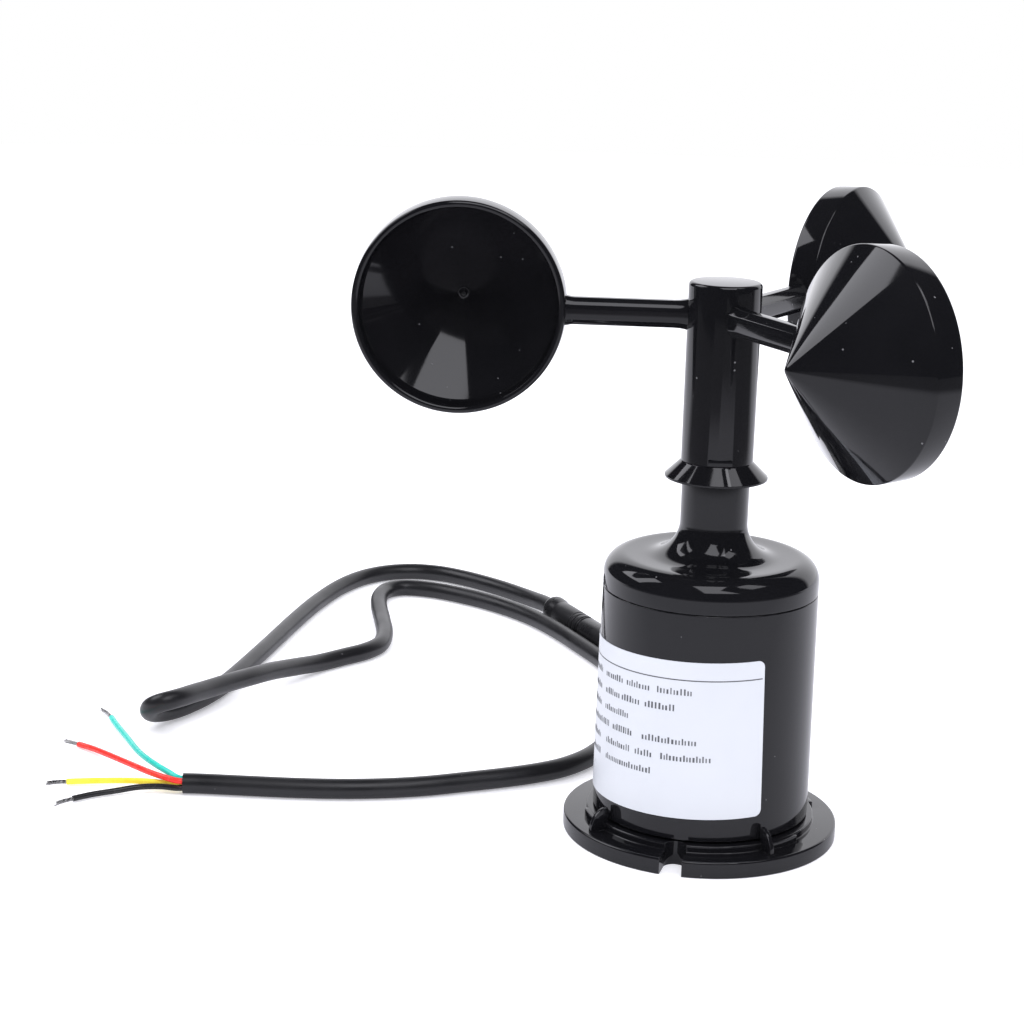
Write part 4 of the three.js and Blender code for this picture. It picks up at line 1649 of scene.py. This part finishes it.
    def tip(self, colour: str) -> bpy.types.Object:
        """The twisted strands of one wire's bare end, one in the middle and the rest round it.

        Args:
            colour: which wire.

        Returns:
            The strands as one piece.
        """
        chance = random.Random(colour)
        line = [Vector(p) for p in smooth_route(self.tip_routes[colour], self.strand_step)]
        along = (line[-1] - line[0]).normalized()
        side = along.cross(Vector((0, 0, 1))).normalized()
        up = side.cross(along)
        strands = []
        for number in range(self.strands):
            ring = 0.0 if number == 0 else self.strand_ring
            stop = len(line) - chance.randint(0, 3)
            points = []
            for i, middle in enumerate(line[:stop]):
                share = i / len(line)
                a = math.tau * number / (self.strands - 1) + share * self.strand_twist
                spread = ring * (1 + self.strand_fray * share**3 * chance.random())
                points.append(tuple(middle + (side * math.cos(a) + up * math.sin(a)) * spread))
            strands.append(drawn_tube("strand", points, self.strand, 8))
        return joined(strands, f"wire_tip_{colour}_strands")


# ---------------------------------------------------------------- fasteners and inner parts

@dataclass
class BaseScrews:
    """The three screws in the foot, with a cross recess in the head."""

    core: float = 1.12
    crest: float = 1.4
    threads: int = 13
    thread_low: float = 4.2
    pitch: float = 1.15
    tooth: float = 0.9
    recess: Pair = (1.35, 0.28)
    recess_span: Pair = (0.2, 1.5)

    def build(self, paint: Paint) -> None:
        """Models one screw, copies it and hands the three over.

        Args:
            paint: the finishes.
        """
        thread: list[Pair] = []
        for i in range(self.threads):
            z = self.thread_low + i * self.pitch
            thread += [(self.core, z), (self.crest, z + self.tooth / 2), (self.core, z + self.tooth)]
        screw = turned("screw", [(0, 0.55), (1.6, 0.5), (2.4, 0.8), (2.7, 1.3), (2.7, 1.7), (2.5, 2.3),
                                 (1.3, 2.3), (1.2, 3.6), *thread, (0.7, 19.8), (0, 20)], 40)
        low, high = self.recess_span
        cross = [block("cross", (-x, -y, low), (x, y, high), 0.06, 1)
                 for x, y in (self.recess, self.recess[::-1])]
        combine(screw, cross, Join.CUT)
        smooth(screw)
        for i, turn in enumerate(SCREWS.turns):
            copy = twin(screw, f"base_screw_{i + 1}_pan_head", about_z(17 * i, direction(turn) * SCREWS.ring))
            paint.hand_over(copy, STEEL, Body.HOUSING, f"base_screw_{i + 1}")
        clear_away(screw)


@dataclass
class InnerParts:
    """The frame's own parts that keep their shape and get a finish."""

    dressed: dict[str, Finish] = field(default_factory=lambda: {
        "base_seal": SILICONE, "cap_seal": SILICONE, "circuit_board": BOARD, "hall_sensor": CHIP,
        "controller_chip": CHIP, "regulator_chip": CHIP, "smoothing_capacitor": CHIP, "board_header": CHIP,
        "shaft": STEEL, "retaining_ring": STEEL, "magnet_carrier": LINK_PVC, "hub_insert": BRASS,
        "inner_lead_1": TEAL, "inner_lead_2": RED, "inner_lead_3": YELLOW, "inner_lead_4": BLACK_CORE,
        **{f"board_screw_{i}": STEEL for i in (1, 2, 3)},
        **{f"magnet_{i}": MAGNET for i in (1, 2)},
        **{f"{end}_bearing_{part}": STEEL
           for end in ("upper", "lower") for part in ("outer", "shield", "inner")},
    })

    def build(self, paint: Paint) -> None:
        """Puts each part's finish in its material slots.

        Args:
            paint: the finishes.
        """
        for name, finish in self.dressed.items():
            paint.coat(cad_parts[name], finish)
        log.info("%d inner parts dressed", len(self.dressed))


# ---------------------------------------------------------------- studio

@dataclass(frozen=True)
class SoftBox:
    """A soft box that faces the object.

    Attributes:
        name: the light's name.
        toward: how far it lies toward the camera, to the right and up, as a direction.
        distance: its distance from the object, in metres.
        size: its width and height, in metres.
        radiance: its brightness as the gloss reflects it.
    """

    name: str
    toward: Point
    distance: float
    size: Pair
    radiance: float


@dataclass
class Studio:
    """The camera, the pale floor, the soft lights and the room that the gloss reflects.

    The gloss sees its own floor and room: a grey sheet that darkens toward the camera and ends a little
    before it, and a room that is bright behind the object and dark in front.
    """

    eye: Point = (100.3, -541.3, 214.85)
    heading: float = 0.2687
    pitch: float = 0.247
    roll: float = 0.030
    lens: float = 85.5
    sensor: float = 36.0
    clip: Pair = (0.02, 20.0)
    aim_height: float = 0.09
    lamp_colour: Colour = (0.94, 0.94, 1.0)
    floor_radius: float = 1600.0
    floor_glow: float = 0.3
    floor_glow_colour: Colour = (0.97, 0.97, 1.03)
    floor_plain: tuple[Colour, Colour] = ((0.90, 0.90, 0.91), (0.92, 0.92, 0.93))
    floor_mottle: float = 4.0
    sheet: tuple[Colour, Colour] = ((0.33, 0.33, 0.355), (0.72, 0.72, 0.76))
    sheet_shift: Pair = (0.12, -0.25)
    sheet_glow: Pair = (0.22, 0.03)
    sheet_edge: Pair = (0.46, 0.60)
    sheet_edge_starts: Pair = (-0.30, -0.10)
    past_sheet: Colour = (0.09, 0.09, 0.095)
    room_swing: Pair = (0.966, 0.259)
    room_edge: Pair = (-0.73, -0.65)
    room_bright: Colour = (1.40, 1.40, 1.47)
    room_dark: Colour = (0.022, 0.022, 0.027)
    room_lit: Colour = (1.2, 1.2, 1.24)
    room_seen: Colour = (1.0, 1.0, 1.0)
    soft_boxes: tuple[SoftBox, ...] = (
        SoftBox("soft box right", (0.17, 0.46, 0.87), 0.9, (0.28, 0.30), 2.2),
        SoftBox("soft box left", (-0.24, -0.72, 0.63), 1.0, (0.62, 0.54), 3.0),
        SoftBox("window", (0.55, 0.10, 0.83), 0.9, (0.60, 0.62), 2.7),
    )

    def sides(self) -> tuple[Vector, Vector]:
        """Level unit vectors from the object toward the camera, and to the camera's right."""
        a = self.heading
        return Vector((math.sin(a), -math.cos(a), 0)), Vector((math.cos(a), math.sin(a), 0))

    def camera(self) -> None:
        """The camera at its measured place."""
        a, p, r = self.heading, self.pitch, self.roll
        ahead = Vector((-math.sin(a) * math.cos(p), math.cos(a) * math.cos(p), -math.sin(p)))
        right = self.sides()[1]
        up = right.cross(ahead)
        x = right * math.cos(r) + up * math.sin(r)
        y = up * math.cos(r) - right * math.sin(r)
        deselect()
        bpy.ops.object.camera_add()
        camera = bpy.context.object
        camera.name = "camera"
        camera.matrix_world = shift(*self.eye) @ Matrix((x, y, -ahead)).transposed().to_4x4()
        camera.data.lens = self.lens
        camera.data.sensor_width = self.sensor
        camera.data.clip_start, camera.data.clip_end = self.clip
        bpy.context.scene.camera = camera

    def floor(self) -> None:
        """A round pale floor: a faintly glowing sheet, whose near edge the gloss shows as darker."""
        deselect()
        bpy.ops.mesh.primitive_circle_add(vertices=96, radius=self.floor_radius * MM, fill_type="NGON")
        ground = bpy.context.object
        ground.name = "floor"
        made = bpy.data.materials.new("pale floor")
        made.use_nodes = True
        n = Nodes(made.node_tree)
        out = n.add("ShaderNodeOutputMaterial")
        surface = n.add("ShaderNodeBsdfPrincipled")
        where = n.add("ShaderNodeTexCoord").outputs["Object"]
        ahead = n.along(where, self.sides()[0])
        reach = n.add("ShaderNodeVectorMath", operation="LENGTH")
        n.put(reach, 0, where)
        beyond = n.math("MULTIPLY", n.ramp(reach.outputs["Value"], *self.sheet_edge),
                        n.ramp(ahead, *self.sheet_edge_starts))
        behind = n.ramp(ahead, *self.sheet_shift)
        glossy = n.add("ShaderNodeLightPath").outputs["Is Glossy Ray"]
        plain = n.mix(n.noise(where, self.floor_mottle), *((*colour, 1) for colour in self.floor_plain))
        sheet = n.mix(behind, *((*colour, 1) for colour in self.sheet))
        mirrored = n.mix(beyond, sheet, (*self.past_sheet, 1))
        glow = n.ramp(glossy, 0.0, 1.0, self.floor_glow, n.ramp(beyond, 0.0, 1.0, *self.sheet_glow))
        for label, value in {"Base Color": n.mix(glossy, plain, mirrored), "Emission Strength": glow,
                             "Emission Color": (*self.floor_glow_colour, 1.0), "Roughness": 0.9,
                             "Specular IOR Level": 0.0}.items():
            n.put(surface, label, value)
        n.put(out, "Surface", surface.outputs[0])
        ground.data.materials.append(made)

    def light(self, box: SoftBox) -> None:
        """Sets up one soft box.

        Args:
            box: where it is, how large and how bright.
        """
        level, right = self.sides()
        way = (level * box.toward[0] + right * box.toward[1] + Vector((0, 0, box.toward[2]))).normalized()
        deselect()
        bpy.ops.object.light_add(type="AREA")
        light = bpy.context.object
        light.name = box.name
        light.data.shape = "RECTANGLE"
        light.data.size, light.data.size_y = box.size
        light.data.energy = box.radiance * math.pi * box.size[0] * box.size[1]
        light.data.color = self.lamp_colour
        light.location = Vector((0, 0, self.aim_height)) + way * box.distance
        light.rotation_mode = "QUATERNION"
        light.rotation_quaternion = way.to_track_quat("Z", "Y")
        light.visible_camera = False

    def room(self) -> None:
        """The room: white for the floor, but in the gloss bright behind the object and dark in front."""
        world = bpy.data.worlds.new("studio")
        bpy.context.scene.world = world
        world.use_nodes = True
        n = Nodes(world.node_tree)
        out = n.add("ShaderNodeOutputWorld")
        light = n.add("ShaderNodeBackground")
        n.put(out, "Surface", light.outputs[0])
        way = n.add("ShaderNodeTexCoord").outputs["Generated"]
        level, right = self.sides()
        ahead, aside = self.room_swing
        dark = n.ramp(n.along(way, level * ahead - right * aside), *self.room_edge)
        mirrored = n.mix(dark, (*self.room_bright, 1), (*self.room_dark, 1))
        path = n.add("ShaderNodeLightPath")
        lit = n.mix(path.outputs["Is Glossy Ray"], (*self.room_lit, 1), mirrored)
        n.put(light, "Color", n.mix(path.outputs["Is Camera Ray"], lit, (*self.room_seen, 1)))

    def build(self) -> None:
        """Sets the floor, the room and the lights."""
        self.floor()
        self.room()
        for box in self.soft_boxes:
            self.light(box)
        bpy.context.scene.view_settings.view_transform = "Standard"


def main() -> None:
    """Builds the anemometer round the frame."""
    logging.basicConfig(level=logging.INFO, format="%(name)s: %(message)s")
    studio = Studio()
    studio.camera()
    paint = Paint()
    link = InlineConnector()
    cables = Cables()
    socket, plug = link.socket(paint), link.plug(paint)
    cables.tail(paint)
    cables.main(paint, plug, link.start)
    for part in (Grommet(), BaseFlange(), HousingTube(), NameLabel(), TopCap(), RotorMoulding(), BaseScrews(),
                 InnerParts()):
        part.build(paint)
    studio.build()
    deselect()


if __name__ == "__main__":
    main()
